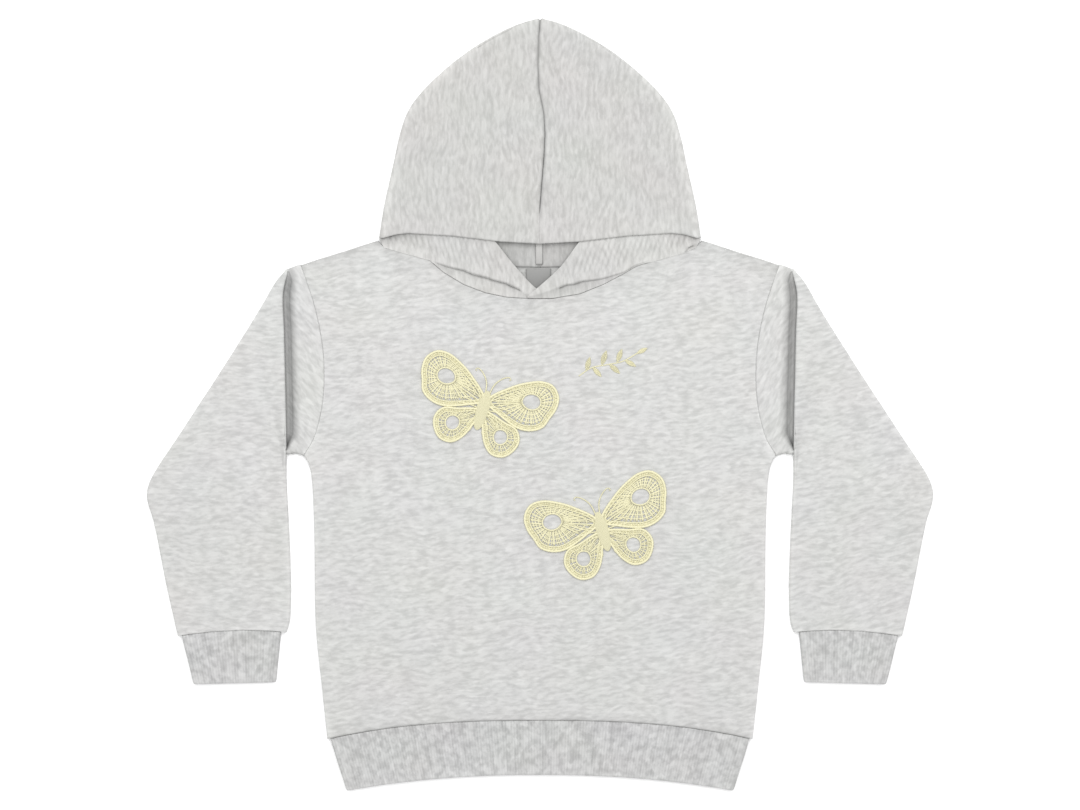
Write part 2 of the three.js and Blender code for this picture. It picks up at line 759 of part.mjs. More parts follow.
const garment = new THREE.Group();
garment.position.y = -LENGTH / 2;

function add(name, geometry, colour, roughness = 0.95) {
  const material = new THREE.MeshStandardMaterial({ color: colour, roughness, metalness: 0 });
  const mesh = new THREE.Mesh(geometry, material);
  mesh.name = name;
  garment.add(mesh);
}

const backNeck = [...mirrorRows(BACK_NECK), ...BACK_NECK.slice(0, -1).reverse()];
add('back_panel', clothWall(panelGrid(backNeck, BACK_ARM_SHARES, false)), COLOURS.body);
add('front_panel', clothWall(panelGrid(FRONT_NECK, FRONT_ARM_SHARES, true)), COLOURS.body);

const rightSleeve = sleeve();
add('sleeve_left', mirrored(rightSleeve), COLOURS.body);
add('sleeve_right', rightSleeve, COLOURS.body);

const rightCuff = cuff();
add('cuff_left', mirrored(rightCuff), COLOURS.rib);
add('cuff_right', rightCuff, COLOURS.rib);
add('hem_band', hemBand(), COLOURS.rib);

const lipCorner = { x: 124.8, h: 430.2 };
const middleRow = FRONT_NECK.findIndex(({ x }) => x === 10);
const leftLipLow = [...mirrorRows([lipCorner]), ...FRONT_NECK.slice(0, middleRow + 1)];
const leftLip = hoodLip(leftLipLow, LEFT_LIP_EDGE, false);
const rightLip = hoodLip([...FRONT_NECK.slice(middleRow - 1), lipCorner], RIGHT_LIP_EDGE, true);
add('hood_left', joined([mirrored(hoodHalf()), leftLip]), COLOURS.hood);
add('hood_right', joined([hoodHalf(), rightLip]), COLOURS.hood);

add('hood_seam_tape', strip(TAPE), COLOURS.tape);
add('neck_label', strip(LABEL), COLOURS.label);
BUTTERFLIES.forEach((motif) => add(motif.name, butterfly(motif), COLOURS.lace));

export default garment;
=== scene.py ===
"""Toddler pullover hoodie laid flat on its back: fine cloth, ribs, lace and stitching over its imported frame.

Metres, +Z up. The hood points to +Y, and left and right are as seen from above.
"""
import math

import bpy
import numpy as np
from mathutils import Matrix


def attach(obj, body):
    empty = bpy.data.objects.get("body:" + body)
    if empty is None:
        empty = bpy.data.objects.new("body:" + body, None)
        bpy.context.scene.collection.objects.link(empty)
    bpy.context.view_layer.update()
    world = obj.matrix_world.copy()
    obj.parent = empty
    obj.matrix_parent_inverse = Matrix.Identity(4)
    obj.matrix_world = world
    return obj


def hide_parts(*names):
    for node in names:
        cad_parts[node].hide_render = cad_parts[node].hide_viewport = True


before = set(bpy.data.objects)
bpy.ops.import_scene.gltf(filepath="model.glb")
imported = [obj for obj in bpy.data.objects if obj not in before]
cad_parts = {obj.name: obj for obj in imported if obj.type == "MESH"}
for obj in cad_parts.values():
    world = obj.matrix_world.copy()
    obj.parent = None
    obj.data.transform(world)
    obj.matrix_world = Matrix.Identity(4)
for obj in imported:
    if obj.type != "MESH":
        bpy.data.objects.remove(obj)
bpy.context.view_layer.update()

bl_info = {
    "name": "Toddler Hoodie",
    "version": (1, 0, 0),
    "blender": (4, 5, 0),
    "location": "View3D > Sidebar > Hoodie",
    "description": "Builds a melange toddler hoodie, laid flat, around its frame",
    "category": "Object",
}

# Driving sizes. Heights h run up the garment from the lowest point of its hem.
LENGTH = 0.603
CLOTH = 0.0016
RIB_CLOTH = 0.0022
SEAM = 0.0003
FINE_SEAM = 0.00008
BACK_Z = CLOTH / 2
EDGE_Z = 0.0027
SEAM_Z = 0.0046
FRONT_Z = 0.0058
NECK_Z = 0.0048
SLEEVE_Z = 0.0054
LIP_Z = 0.0042
EDGE_ROUND = 0.007

# Outlines of the right-hand half, each row x from the middle line and height h.
SIDE_SEAM = [
    (0.1655, 0.0405), (0.1700, 0.0830), (0.1745, 0.1280), (0.1757, 0.2000),
    (0.1770, 0.2350), (0.1782, 0.2470), (0.1800, 0.2550), (0.1838, 0.2621),
]
ARMHOLE = [
    (0.1867, 0.4103), (0.1763, 0.3803), (0.1700, 0.3510), (0.1682, 0.3245),
    (0.1702, 0.2980), (0.1766, 0.2745), (0.1838, 0.2621),
]
SHOULDER = [(0.1867, 0.4103), (0.1724, 0.4152), (0.1560, 0.4202), (0.1360, 0.4267), (0.1264, 0.4296)]
SLEEVE_OUTER = [
    (0.2820, 0.1245), (0.2870, 0.1450), (0.2916, 0.1652), (0.3010, 0.2114), (0.3050, 0.2240), (0.3061, 0.2310),
    (0.3040, 0.2410), (0.2785, 0.2812), (0.2480, 0.3280), (0.2185, 0.3748), (0.2044, 0.3986), (0.1970, 0.4066),
]
SLEEVE_INNER = [
    (0.1986, 0.1245), (0.1962, 0.1320), (0.1951, 0.1530), (0.1959, 0.1880),
    (0.1976, 0.2230), (0.1987, 0.2465), (0.1984, 0.2636),
]
SLEEVE_FOLD = [
    (0.1970, 0.4066), (0.2010, 0.3880), (0.2003, 0.3600), (0.1996, 0.3300), (0.1988, 0.2940), (0.1984, 0.2636),
]
HOOD_SIDE = [
    (0.0015, 0.6032), (0.0200, 0.5975), (0.0540, 0.5789), (0.0880, 0.5503), (0.1028, 0.5312),
    (0.1094, 0.5125), (0.1143, 0.4900), (0.1217, 0.4563), (0.1256, 0.4313),
]
CROWN_EDGE = [
    (0.0000, 0.4267), (0.0330, 0.4286), (0.0700, 0.4329), (0.1060, 0.4350), (0.1155, 0.4340), (0.1256, 0.4313),
]
BACK_NECK = [
    (0.0000, 0.4085), (0.0300, 0.4090), (0.0580, 0.4105), (0.0840, 0.4135), (0.1050, 0.4185), (0.1217, 0.4244),
]
# The front neck seam from the left shoulder to the right one, and the row of it at which the hood's lips cross.
FRONT_NECK = [
    (-0.1217, 0.4244), (-0.1084, 0.4204), (-0.0967, 0.4173), (-0.0862, 0.4142), (-0.0757, 0.4048), (-0.0593, 0.3949),
    (-0.0429, 0.3886), (-0.0265, 0.3852), (-0.0100, 0.3842), (0.0100, 0.3842), (0.0312, 0.3877), (0.0490, 0.3949),
    (0.0640, 0.4027), (0.0750, 0.4092), (0.0920, 0.4145), (0.1123, 0.4200), (0.1217, 0.4244),
]
NECK_MIDDLE = 9

BAND_TOP_HALF, BAND_LOW_HALF = 0.1645, 0.1515
HEM_SEAM_H, HEM_SEAM_DIP, HEM_SEAM_POWER = 0.055, 0.0145, 2.6
HEM_LOW_RISE, HEM_LOW_POWER = 0.0125, 2.2
CUFF_TOP_OUTER, CUFF_TOP_INNER, CUFF_TOP_H = 0.2805, 0.2015, 0.1245
CUFF_LOW_OUTER, CUFF_LOW_INNER, CUFF_LOW_H, CUFF_LOW_TILT = 0.2708, 0.2058, 0.0832, 0.0016

# The seam tape and the neck label: middle x, width, lowest h, highest h, thickness.
TAPE_BOX = (-0.0007, 0.0054, 0.411, 0.441, 0.0008)
LABEL_BOX = (-0.0012, 0.0195, 0.388, 0.4075, 0.0008)

# Each soft crease of the cloth: from x, h to x, h, its half width, its depth (a trough is negative).
FRONT_CREASES = [
    (-0.165, 0.262, -0.118, 0.236, 0.0075, -0.0008),
    (0.163, 0.266, 0.121, 0.243, 0.0065, -0.0007),
    (-0.166, 0.250, -0.140, 0.205, 0.0085, 0.0006),
    (0.168, 0.247, 0.139, 0.196, 0.0090, 0.0006),
    (-0.160, 0.398, -0.120, 0.345, 0.0110, 0.0006),
    (0.158, 0.395, 0.128, 0.338, 0.0100, 0.0006),
    (-0.120, 0.405, -0.072, 0.372, 0.0080, -0.0006),
    (0.122, 0.408, 0.066, 0.380, 0.0085, -0.0007),
    (-0.132, 0.062, -0.120, 0.118, 0.0080, 0.0006),
    (-0.058, 0.060, -0.066, 0.104, 0.0070, 0.0005),
    (0.034, 0.060, 0.030, 0.112, 0.0080, 0.0005),
    (0.118, 0.060, 0.124, 0.109, 0.0075, 0.0006),
]
BACK_CREASES = [
    (-0.160, 0.258, -0.096, 0.228, 0.0080, 0.0006),
    (0.158, 0.262, 0.104, 0.236, 0.0075, 0.0006),
    (-0.090, 0.402, 0.080, 0.396, 0.0100, 0.0005),
    (-0.110, 0.060, -0.102, 0.120, 0.0080, 0.0005),
    (0.086, 0.060, 0.094, 0.112, 0.0080, 0.0005),
]
SLEEVE_CREASES = {
    "left": [
        (0.212, 0.366, 0.262, 0.286, 0.0075, -0.0008),
        (0.206, 0.286, 0.268, 0.246, 0.0065, -0.0007),
        (0.204, 0.236, 0.284, 0.214, 0.0070, 0.0008),
        (0.222, 0.196, 0.288, 0.178, 0.0075, -0.0006),
        (0.228, 0.130, 0.224, 0.168, 0.0055, 0.0006),
        (0.262, 0.130, 0.266, 0.158, 0.0050, 0.0005),
    ],
    "right": [
        (0.214, 0.372, 0.256, 0.296, 0.0070, -0.0008),
        (0.204, 0.292, 0.272, 0.258, 0.0060, -0.0006),
        (0.206, 0.240, 0.287, 0.224, 0.0075, 0.0008),
        (0.216, 0.206, 0.282, 0.184, 0.0065, -0.0006),
        (0.236, 0.130, 0.233, 0.171, 0.0050, 0.0006),
        (0.210, 0.130, 0.212, 0.152, 0.0050, 0.0005),
    ],
}
# Slanted drag lines on the strip between the armhole and the pleat.
STRIP_CREASES = [
    (0.172, 0.372, 0.188, 0.350, 0.0030, -0.0004),
    (0.171, 0.350, 0.187, 0.322, 0.0035, 0.0004),
    (0.171, 0.330, 0.186, 0.302, 0.0030, -0.0004),
    (0.173, 0.306, 0.189, 0.284, 0.0035, 0.0003),
]
HOOD_CREASES = {
    "left": [
        (0.020, 0.560, 0.046, 0.500, 0.0110, 0.0006),
        (0.112, 0.448, 0.070, 0.470, 0.0075, -0.0007),
        (0.105, 0.438, 0.096, 0.462, 0.0050, -0.0006),
        (0.060, 0.436, 0.052, 0.474, 0.0080, 0.0005),
    ],
    "right": [
        (0.016, 0.548, 0.052, 0.486, 0.0120, 0.0006),
        (0.114, 0.445, 0.082, 0.475, 0.0070, -0.0007),
        (0.098, 0.438, 0.088, 0.458, 0.0055, -0.0006),
        (0.044, 0.434, 0.040, 0.466, 0.0080, 0.0005),
    ],
}
LIP_CREASES = {
    "left": [
        (0.1150, 0.4350, 0.1186, 0.4240, 0.0011, -0.0016),
        (0.1062, 0.4340, 0.1057, 0.4250, 0.0014, -0.0008),
        (0.0975, 0.4330, 0.0962, 0.4265, 0.0018, -0.0006),
        (0.1105, 0.4340, 0.1115, 0.4250, 0.0024, 0.0007),
        (0.070, 0.4190, 0.040, 0.4080, 0.0040, 0.0004),
    ],
    "right": [
        (0.1118, 0.4185, 0.1245, 0.4262, 0.0011, -0.0016),
        (0.1172, 0.4350, 0.1215, 0.4285, 0.0011, -0.0013),
        (0.1030, 0.4330, 0.0930, 0.4240, 0.0030, 0.0006),
        (0.0730, 0.4100, 0.1000, 0.4180, 0.0014, -0.0005),
        (0.060, 0.4180, 0.030, 0.4070, 0.0040, 0.0004),
    ],
}


def mix(a, b, share):
    return a + (b - a) * share


def ease(value, low, high):
    share = np.clip((np.asarray(value, float) - low) / (high - low), 0, 1)
    return share * share * (3 - 2 * share)


def fading(distance, kind):
    """A strength that fades with the distance from a seam or edge, from a pair of strength and reach."""
    strength, reach = kind
    return strength * np.exp(-distance / reach)


def read_table(at, rows):
    """The second value of a table, read between its rows at the first one."""
    known, values = zip(*rows)
    return np.interp(at, known, values)


def rounded(distance, low, high, reach=EDGE_ROUND):
    """The height of cloth that rounds down to a low border, at a distance from it."""
    share = np.clip(np.asarray(distance, float) / reach, 0, 1)
    return low + (high - low) * np.sqrt(1 - (1 - share) ** 2)


def smooth_line(rows, closed=False, steps=24):
    """A smooth line through the rows, read by its share of the length."""
    points = np.array(rows, float)
    if closed:
        padded = np.vstack([points[-1], points, points[0], points[1]])
    else:
        padded = np.vstack([2 * points[0] - points[1], points, 2 * points[-1] - points[-2]])
    walk = []
    for a, b, c, d in zip(padded, padded[1:], padded[2:], padded[3:]):
        gaps = [math.sqrt(max(np.linalg.norm(q - p), 1e-9)) for p, q in ((a, b), (b, c), (c, d))]
        knots = np.cumsum([0.0, *gaps])
        t = np.linspace(knots[1], knots[2], steps, endpoint=False)[:, None]

        def between(p, q, low, high):
            return ((high - t) * p + (t - low) * q) / (high - low)

        ab = between(a, b, knots[0], knots[1])
        bc = between(b, c, knots[1], knots[2])
        cd = between(c, d, knots[2], knots[3])
        abc = between(ab, bc, knots[0], knots[2])
        bcd = between(bc, cd, knots[1], knots[3])
        walk.append(between(abc, bcd, knots[1], knots[2]))
    walk = np.vstack([*walk, points[:1] if closed else points[-1:]])
    length = np.concatenate([[0], np.cumsum(np.linalg.norm(np.diff(walk, axis=0), axis=1))])

    def read(share):
        at = np.clip(np.asarray(share, float), 0, 1) * length[-1]
        return np.stack([np.interp(at, length, column) for column in walk.T], axis=-1)

    read.length = length[-1]
    return read


def broken_line(rows):
    """A broken line that passes exactly through each row, read from 0 to 1 with an equal share for each stretch."""
    points = np.array(rows, float)

    def read(share):
        at = np.clip(np.asarray(share, float), 0, 1) * (len(points) - 1)
        return np.stack([np.interp(at, np.arange(len(points)), column) for column in points.T], axis=-1)

    return read


# A crease bows and widens along its way, and fades in and out at its ends, in shares of its length.
CREASE_BOW, CREASE_SPREAD, CREASE_STARTS, CREASE_ENDS = 0.12, 0.6, (-0.25, 0.3), (0.6, 1.3)


def creases(x, h, rows):
    """How far each point is moved up or down by the soft creases in a table."""
    lift = np.zeros(np.broadcast(x, h).shape)
    for x0, h0, x1, h1, width, depth in rows:
        along = np.array([x1 - x0, h1 - h0])
        size = np.linalg.norm(along)
        along = along / size
        run = ((x - x0) * along[0] + (h - h0) * along[1]) / size
        bow = CREASE_BOW * size * np.sin(math.pi * np.clip(run, 0, 1))
        off = (h - h0) * along[0] - (x - x0) * along[1] - bow
        fade = ease(run, *CREASE_STARTS) * (1 - ease(run, *CREASE_ENDS))
        spread = width * (1 + CREASE_SPREAD * np.clip(run, 0, 1))
        lift = lift + depth * np.exp(-(off / spread) ** 2) * fade
    return lift


# The cloth's soft waves: height, length across, length up the garment, start.
SOFT_WAVES = [(0.00025, 0.031, 0.047, 0.0), (0.0002, -0.067, 0.023, 1.3)]
# The three waves of a pucker: share of its height, turn in each pitch, share of the seed.
PUCKER_WAVES = [(1.0, 6.283, 1.0), (0.7, 4.17, 2.1), (0.5, 9.91, 3.7)]
PUCKER_SUM = 2.2


def soft_wave(x, h):
    """Low soft undulations of the cloth, laid over each panel's own height."""
    return sum(height * np.sin(x / across + h / up + start) for height, across, up, start in SOFT_WAVES)


def pucker(along, distance, kind):
    """Small uneven puckers along a seam, from three sine waves that don't repeat together."""
    seed, pitch, size, reach = kind
    wave = sum(share * np.sin(along / pitch * turn + start * seed) for share, turn, start in PUCKER_WAVES)
    return size * wave / PUCKER_SUM * np.exp(-distance / reach)


def stack(x, h, z):
    return np.stack(np.broadcast_arrays(x, h, z), axis=-1).astype(float)


def unit(vectors):
    return vectors / np.maximum(np.linalg.norm(vectors, axis=-1, keepdims=True), 1e-12)


def grid_normals(grid, is_round):
    """The cloth's outward direction at each point. Free borders keep their faces upright."""
    if is_round:
        across = np.roll(grid, -1, axis=1) - np.roll(grid, 1, axis=1)
    else:
        across = np.gradient(grid, axis=1)
        across[:, [0, -1], 2] = 0
    up = np.gradient(grid, axis=0)
    up[[0, -1], :, 2] = 0
    return unit(np.cross(across, up))


# A cord's open ends are drawn in to this share, and its map turns this far round it for each radian.
CORD_END, CORD_MAP_TURN = 0.25, 0.0008


class Cloth:
    """A mesh in the making: points, faces, each point's place on the flat cloth, and how deep in shade it lies."""

    def __init__(self):
        self.points, self.faces, self.cloth, self.shade = [], [], [], []
        self.count = 0

    def add_points(self, points, cloth, shade=0.0, is_round=False):
        """Adds a grid of points and gives back their numbers, a round grid's first column again at its end."""
        points = np.asarray(points, float)
        shape = points.shape[:2]
        self.points.append(points.reshape(-1, 3))
        self.cloth.append(np.asarray(cloth, float).reshape(-1, 3))
        self.shade.append(np.broadcast_to(np.ravel(shade), (shape[0] * shape[1],)))
        ids = np.arange(self.count, self.count + shape[0] * shape[1]).reshape(shape)
        self.count += ids.size
        return np.hstack([ids, ids[:, :1]]) if is_round else ids

    def add_quads(self, grid, flipped=False):
        """Adds a face between each four neighbours in a grid of point numbers."""
        grid = np.asarray(grid)
        a, b, c, d = grid[:-1, :-1], grid[:-1, 1:], grid[1:, 1:], grid[1:, :-1]
        corners = (a, d, c, b) if flipped else (a, b, c, d)
        self.faces.append(np.stack([np.ravel(k) for k in corners], axis=1))

    def add_wall(self, grid, cloth, thickness=CLOTH, is_round=False, raise_outer=None, shade=0.0, shade_inner=0.0):
        """A wall of cloth from a grid of points on its middle, closed round its border."""
        normal = grid_normals(grid, is_round)
        outer_step = thickness / 2 if raise_outer is None else thickness / 2 + raise_outer[..., None]
        flat = np.concatenate([cloth, np.zeros(cloth.shape[:2] + (1,))], axis=2)
        outer = self.add_points(grid + normal * outer_step, flat, shade, is_round)
        inner = self.add_points(grid - normal * thickness / 2, flat, shade_inner, is_round)
        self.add_quads(outer)
        self.add_quads(inner, flipped=True)
        edges = [(inner[0], outer[0]), (outer[-1], inner[-1])]
        if not is_round:
            edges += [(outer[:, 0], inner[:, 0]), (inner[:, -1], outer[:, -1])]
        for edge in edges:
            self.add_quads(edge)

    def add_cord(self, route, radius, sides=6, closed=False, flatten=1.0):
        """A tube of thread along a route of points, its ends drawn in and closed where it is open."""
        route = np.asarray(route, float)
        ahead = np.roll(route, -1, axis=0) - np.roll(route, 1, axis=0)
        size = np.broadcast_to(np.asarray(radius, float), (len(route),)).copy()
        if not closed:
            ahead[0], ahead[-1] = route[1] - route[0], route[-1] - route[-2]
            size[[0, -1]] *= CORD_END
        ahead = unit(ahead)
        across = unit(np.cross([0.0, 0.0, 1.0], ahead))
        up = np.cross(ahead, across)
        turn = np.linspace(0, 2 * math.pi, sides, endpoint=False)
        ring = (route[:, None] + across[:, None] * (np.cos(turn)[:, None] * size[:, None, None])
                + up[:, None] * (np.sin(turn)[:, None] * size[:, None, None] * flatten))
        run = np.concatenate([[0], np.cumsum(np.linalg.norm(np.diff(route, axis=0), axis=1))])
        ids = self.add_points(ring, stack(run[:, None], turn * CORD_MAP_TURN, 0.0), is_round=True)
        self.add_quads(np.vstack([ids, ids[:1]]) if closed else ids)
        if not closed:
            self.faces.append(list(ids[0, :-1][::-1]))
            self.faces.append(list(ids[-1, :-1]))

    def finish(self, name, body, slot, node, material, mirrored=False):
        side = [-1 if mirrored else 1, 1, 1]
        points = np.vstack(self.points) * side - [0, LENGTH / 2, 0]
        faces = []
        for block in self.faces:
            faces += [block] if isinstance(block, list) else block.tolist()
        if mirrored:
            faces = [face[::-1] for face in faces]
        mesh = bpy.data.meshes.new(name)
        mesh.from_pydata(points.tolist(), [], faces)
        cloth = np.ravel(np.vstack(self.cloth) * side)
        mesh.attributes.new("cloth", "FLOAT_VECTOR", "POINT").data.foreach_set("vector", cloth)
        mesh.attributes.new("shade", "FLOAT", "POINT").data.foreach_set("value", np.concatenate(self.shade))
        mesh.polygons.foreach_set("use_smooth", [True] * len(mesh.polygons))
        mesh.materials.append(material)
        mesh.update()
        piece = bpy.data.objects.new(name, mesh)
        bpy.context.collection.objects.link(piece)
        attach(piece, body)
        if node:
            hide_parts(node)
        return piece


# The body panels. Their borders follow the side seam, the armhole, the shoulder and the neck.
# Extra columns close to each side border, as shares of the half width inside it.
EDGE_COLUMNS = np.array([0, 0.0018, 0.004, 0.007, 0.011])
INNER_COLUMNS, COLUMN_BUNCHING = 0.9835, 0.06
ROWS_UNDER_ARM = 0.56
# Puckers along the front's seams: seed, pitch, height, reach.
HEM_PUCKER = (1.0, 0.017, 0.00035, 0.012)
ARM_PUCKER = (2.0, 0.015, 0.0003, 0.009)
NECK_PUCKER = (3.0, 0.016, 0.0003, 0.010)
# Shade and light along the front's borders: strength, reach.
NECK_SHADE = (0.13, 0.0060)
NECK_LIGHT = (0.16, 0.0007)
SIDE_LIGHT = (0.28, 0.0020)
ARM_LIGHT, ARM_LOW_LIGHT, ARM_LIGHT_REACH = 0.16, 0.2, 0.0008
LIP_ROUND = 0.0012
BACK_SHADE, BACK_NECK_SHADE, LABEL_SHADE = 0.15, (0.3, 0.0008), (0.45, 0.0005)
armhole = smooth_line(ARMHOLE)


def hem_seam(x):
    return HEM_SEAM_H - HEM_SEAM_DIP * (np.abs(x) / BAND_TOP_HALF) ** HEM_SEAM_POWER


def panel_plan(neck_rows, columns, rows, neck_gap):
    """A body panel's flat points, its side border, the distance to side and hem, and its crest over each column."""
    corner = SHOULDER[0]
    neck = np.array(neck_rows, float)
    spread = np.linspace(0, INNER_COLUMNS, columns // 2 + 1)
    spread = np.concatenate([spread * (1 - COLUMN_BUNCHING * (1 - spread)), 1 - EDGE_COLUMNS[::-1]])
    spread = np.concatenate([-spread[:0:-1], spread])
    crest_x = spread * corner[0]
    shoulder = smooth_line(SHOULDER)(np.linspace(0, 1, 40))[::-1]
    known_x = np.concatenate([-shoulder[::-1, 0], neck[:, 0], shoulder[:, 0]])
    known_h = np.concatenate([shoulder[::-1, 1], neck[:, 1], shoulder[:, 1]])
    order = np.argsort(known_x)
    crest_h = np.interp(crest_x, known_x[order], known_h[order])
    low_rows = int(rows * ROWS_UNDER_ARM)
    border = np.vstack([smooth_line(SIDE_SEAM)(np.linspace(0, 1, low_rows)),
                        armhole(np.linspace(1, 0, rows - low_rows + 1))[1:]])
    across = crest_x / corner[0]
    rise = ((border[:, 1] - border[0, 1]) / (border[-1, 1] - border[0, 1]))[:, None]
    low = hem_seam(across * BAND_TOP_HALF) + SEAM / 2
    h = mix(low, crest_h - neck_gap, rise)
    from_side = (1 - np.abs(across)) * border[:, :1]
    return across * (border[:, :1] - FINE_SEAM / 2), h, border[:, 1:], from_side, h - low, crest_x, crest_h


def front_height(x, h):
    """The front's full height away from its borders, with its soft waves and creases."""
    return FRONT_Z + soft_wave(x, h) + creases(x, h, FRONT_CREASES)


def front_panel(material):
    x, h, border_h, from_side, from_hem, crest_x, crest_h = panel_plan(FRONT_NECK, 190, 229, SEAM / 2)
    from_neck = crest_h - SEAM / 2 - h
    from_middle = np.abs(crest_x)
    arm = ease(h, 0.262, 0.285)
    full = front_height(x, h) + pucker(x, from_hem, HEM_PUCKER)
    full = full + pucker(h, from_side, ARM_PUCKER) * arm + pucker(x, from_neck, NECK_PUCKER)
    side_z = mix(EDGE_Z, SEAM_Z, ease(border_h, 0.252, 0.272) * (1 - ease(border_h, 0.396, 0.410)))
    neck_z = mix(NECK_Z, EDGE_Z, ease(from_middle, 0.112, 0.124))
    neck_round = mix(EDGE_ROUND, LIP_ROUND, ease(from_middle, 0.080, 0.090))
    z = np.minimum(rounded(from_side, side_z, full), rounded(from_hem, SEAM_Z, full))
    z = np.minimum(z, rounded(from_neck, neck_z, full, neck_round))
    shade = fading(from_neck, NECK_SHADE) - fading(from_side, SIDE_LIGHT) * (1 - arm)
    arm_light = ARM_LIGHT + ARM_LOW_LIGHT * (1 - ease(h, 0.27, 0.33))
    shade = shade - fading(from_side, (arm_light, ARM_LIGHT_REACH)) * arm
    shade = shade - fading(from_neck, NECK_LIGHT) * (1 - ease(from_middle, 0.045, 0.075))
    cloth = Cloth()
    cloth.add_wall(stack(x, h, z), np.stack([x, h], axis=-1), shade=shade)
    piece = cloth.finish("Front", "root", "sweatshirt", "front_panel", material)


def back_panel(material):
    neck = [(-x, h) for x, h in BACK_NECK[::-1]] + BACK_NECK[1:]
    x, h, _, from_side, from_hem, _, crest_h = panel_plan(neck, 141, 151, FINE_SEAM / 2)
    fade = ease(from_side, 0.004, 0.03) * ease(from_hem, 0.002, 0.02) * ease(crest_h - h, 0.002, 0.02)
    lift = np.abs(soft_wave(x, h)) * 0.7 + np.maximum(creases(x, h, BACK_CREASES), 0)
    from_label = np.abs(np.abs(x - LABEL_BOX[0]) - LABEL_BOX[1] / 2)
    shade = BACK_SHADE + fading(crest_h - h, BACK_NECK_SHADE)
    shade = shade + fading(from_label, LABEL_SHADE) * ease(h, LABEL_BOX[2] - 0.002, LABEL_BOX[2])
    cloth = Cloth()
    cloth.add_wall(stack(x, h, BACK_Z + lift * fade), np.stack([x, h + 0.7], axis=-1), shade=shade)
    piece = cloth.finish("Back", "root", "sweatshirt", "back_panel", material)


# A sleeve is one sheet, closed along its underarm. Its front hangs over the armhole in an open pleat.
# Heights of the pleat's floor, of the strip beside it and of the fold over it.
PLEAT_LOW_Z, STRIP_Z, FOLD_Z = 0.0028, 0.0058, 0.0078
PLEAT_DEPTH, PLEAT_START, PLEAT_BEND, PLEAT_TURNS = 0.012, -0.006, 0.00095, 7
# Where the pleat opens and closes, and where its gap narrows, as shares of the way down the armhole.
PLEAT_OPENS, PLEAT_CLOSES, GAP_NARROWS = (-0.03, 0.085), (0.965, 1.0), (0.87, 1.0)
PLEAT_GAP, LEAST_GAP, GAP_NARROWING = 0.0066, 0.0009, 0.85
TURN_ROOM, TURN_CLEARANCE = 0.8, 0.0012
GAP_SHADE, CLOSING_SHADE, SHADOW_WIDTH, SHADOW_POWER = 0.46, 0.45, 0.0060, 1.3
SEAM_GLOW = (0.12, 0.0010)
SLEEVE_PUCKER = (5.0, 0.012, 0.00045, 0.05)
CUFF_LIGHT, SLEEVE_SIDE_LIGHT = (0.22, 0.0012), (0.18, 0.0016)
SLEEVE_ARCH, LOW_SEAM_GAP = 0.0012, 0.0004
ARM_LENGTH, SLEEVE_LENGTH = 0.16, 0.26
ARM_ROUND = (SEAM_Z - BACK_Z) / 2
sleeve_fold = smooth_line(SLEEVE_FOLD)
sleeve_outer = smooth_line(SLEEVE_OUTER)
sleeve_inner = smooth_line(SLEEVE_INNER)
sleeve_low = broken_line([(x, h + FINE_SEAM / 2) for x, h in (SLEEVE_OUTER[0], SLEEVE_INNER[0])])
SLEEVE_TOP = sleeve_outer(np.linspace(0.5, 1, 60))
SLEEVE_DOWNS = np.concatenate([[0.015], np.linspace(0.03, 0.985, 110), [0.995, 1.0]])
# The strip beside the pleat, from its puffed plateau down into the gap: steps in gap widths, share of its height.
STRIP_DROP = [(1.7, 1.0), (1.4, 0.96), (1.2, 0.86), (1.08, 0.68), (0.98, 0.40), (0.9, 0.14), (0.6, 0.0), (0.3, 0.0)]
# How dark the gap is near the fold over it: distance in gap widths, share of its shade.
GAP_DARKNESS = [(0.3, 0.80), (0.6, 1.08), (0.9, 0.84), (1.0, 0.76), (1.3, 1.0)]
STRIP_PARTS = 12
STRIP_ROWS = STRIP_PARTS + len(STRIP_DROP)
# How far the cuff seam bows, from the sleeve's outer edge to its inner one.
CUFF_SEAM_BOW = [(0.0, -0.0034), (0.15, -0.0016), (0.35, 0.0002), (0.6, 0.0012), (0.85, 0.0006), (1.0, -0.0004)]


def sleeve_plan(share, up):
    """A sleeve's flat point at a share across from its top edge and a share up from its cuff."""
    share, up = np.broadcast_arrays(np.asarray(share, float), np.asarray(up, float))
    s, u = share[..., None], up[..., None]
    flat = (sleeve_low(share) * (1 - u) + sleeve_fold(share) * u + sleeve_outer(up) * (1 - s) + sleeve_inner(up) * s
            - sleeve_low(0) * (1 - s) * (1 - u) - sleeve_low(1) * s * (1 - u) - sleeve_fold(0) * (1 - s) * u
            - sleeve_fold(1) * s * u)
    flat[..., 1] += read_table(share, CUFF_SEAM_BOW) * np.exp(-up / 0.12) * (1 - up)
    return flat


def pleat_section(reach, low, high):
    """The pleat's two bends and the straight between them, as steps out from the fold and heights."""
    apart = math.hypot(PLEAT_BEND - reach, high - low - 2 * PLEAT_BEND)
    heading = math.atan2(high - low - 2 * PLEAT_BEND, PLEAT_BEND - reach) + math.asin(min(2 * PLEAT_BEND / apart, 1))

    def bend(out, z, turn, way):
        return out + way * PLEAT_BEND * math.sin(turn), z - way * PLEAT_BEND * math.cos(turn)

    turns = np.linspace(0, heading, PLEAT_TURNS)
    lower = [bend(reach, low + PLEAT_BEND, turn, 1) for turn in turns]
    upper = [bend(PLEAT_BEND, high - PLEAT_BEND, turn, -1) for turn in turns[::-1]]
    straight = [tuple(mix(np.array(lower[-1]), np.array(upper[0]), part)) for part in (0.25, 0.5, 0.75)]
    return lower + straight + upper


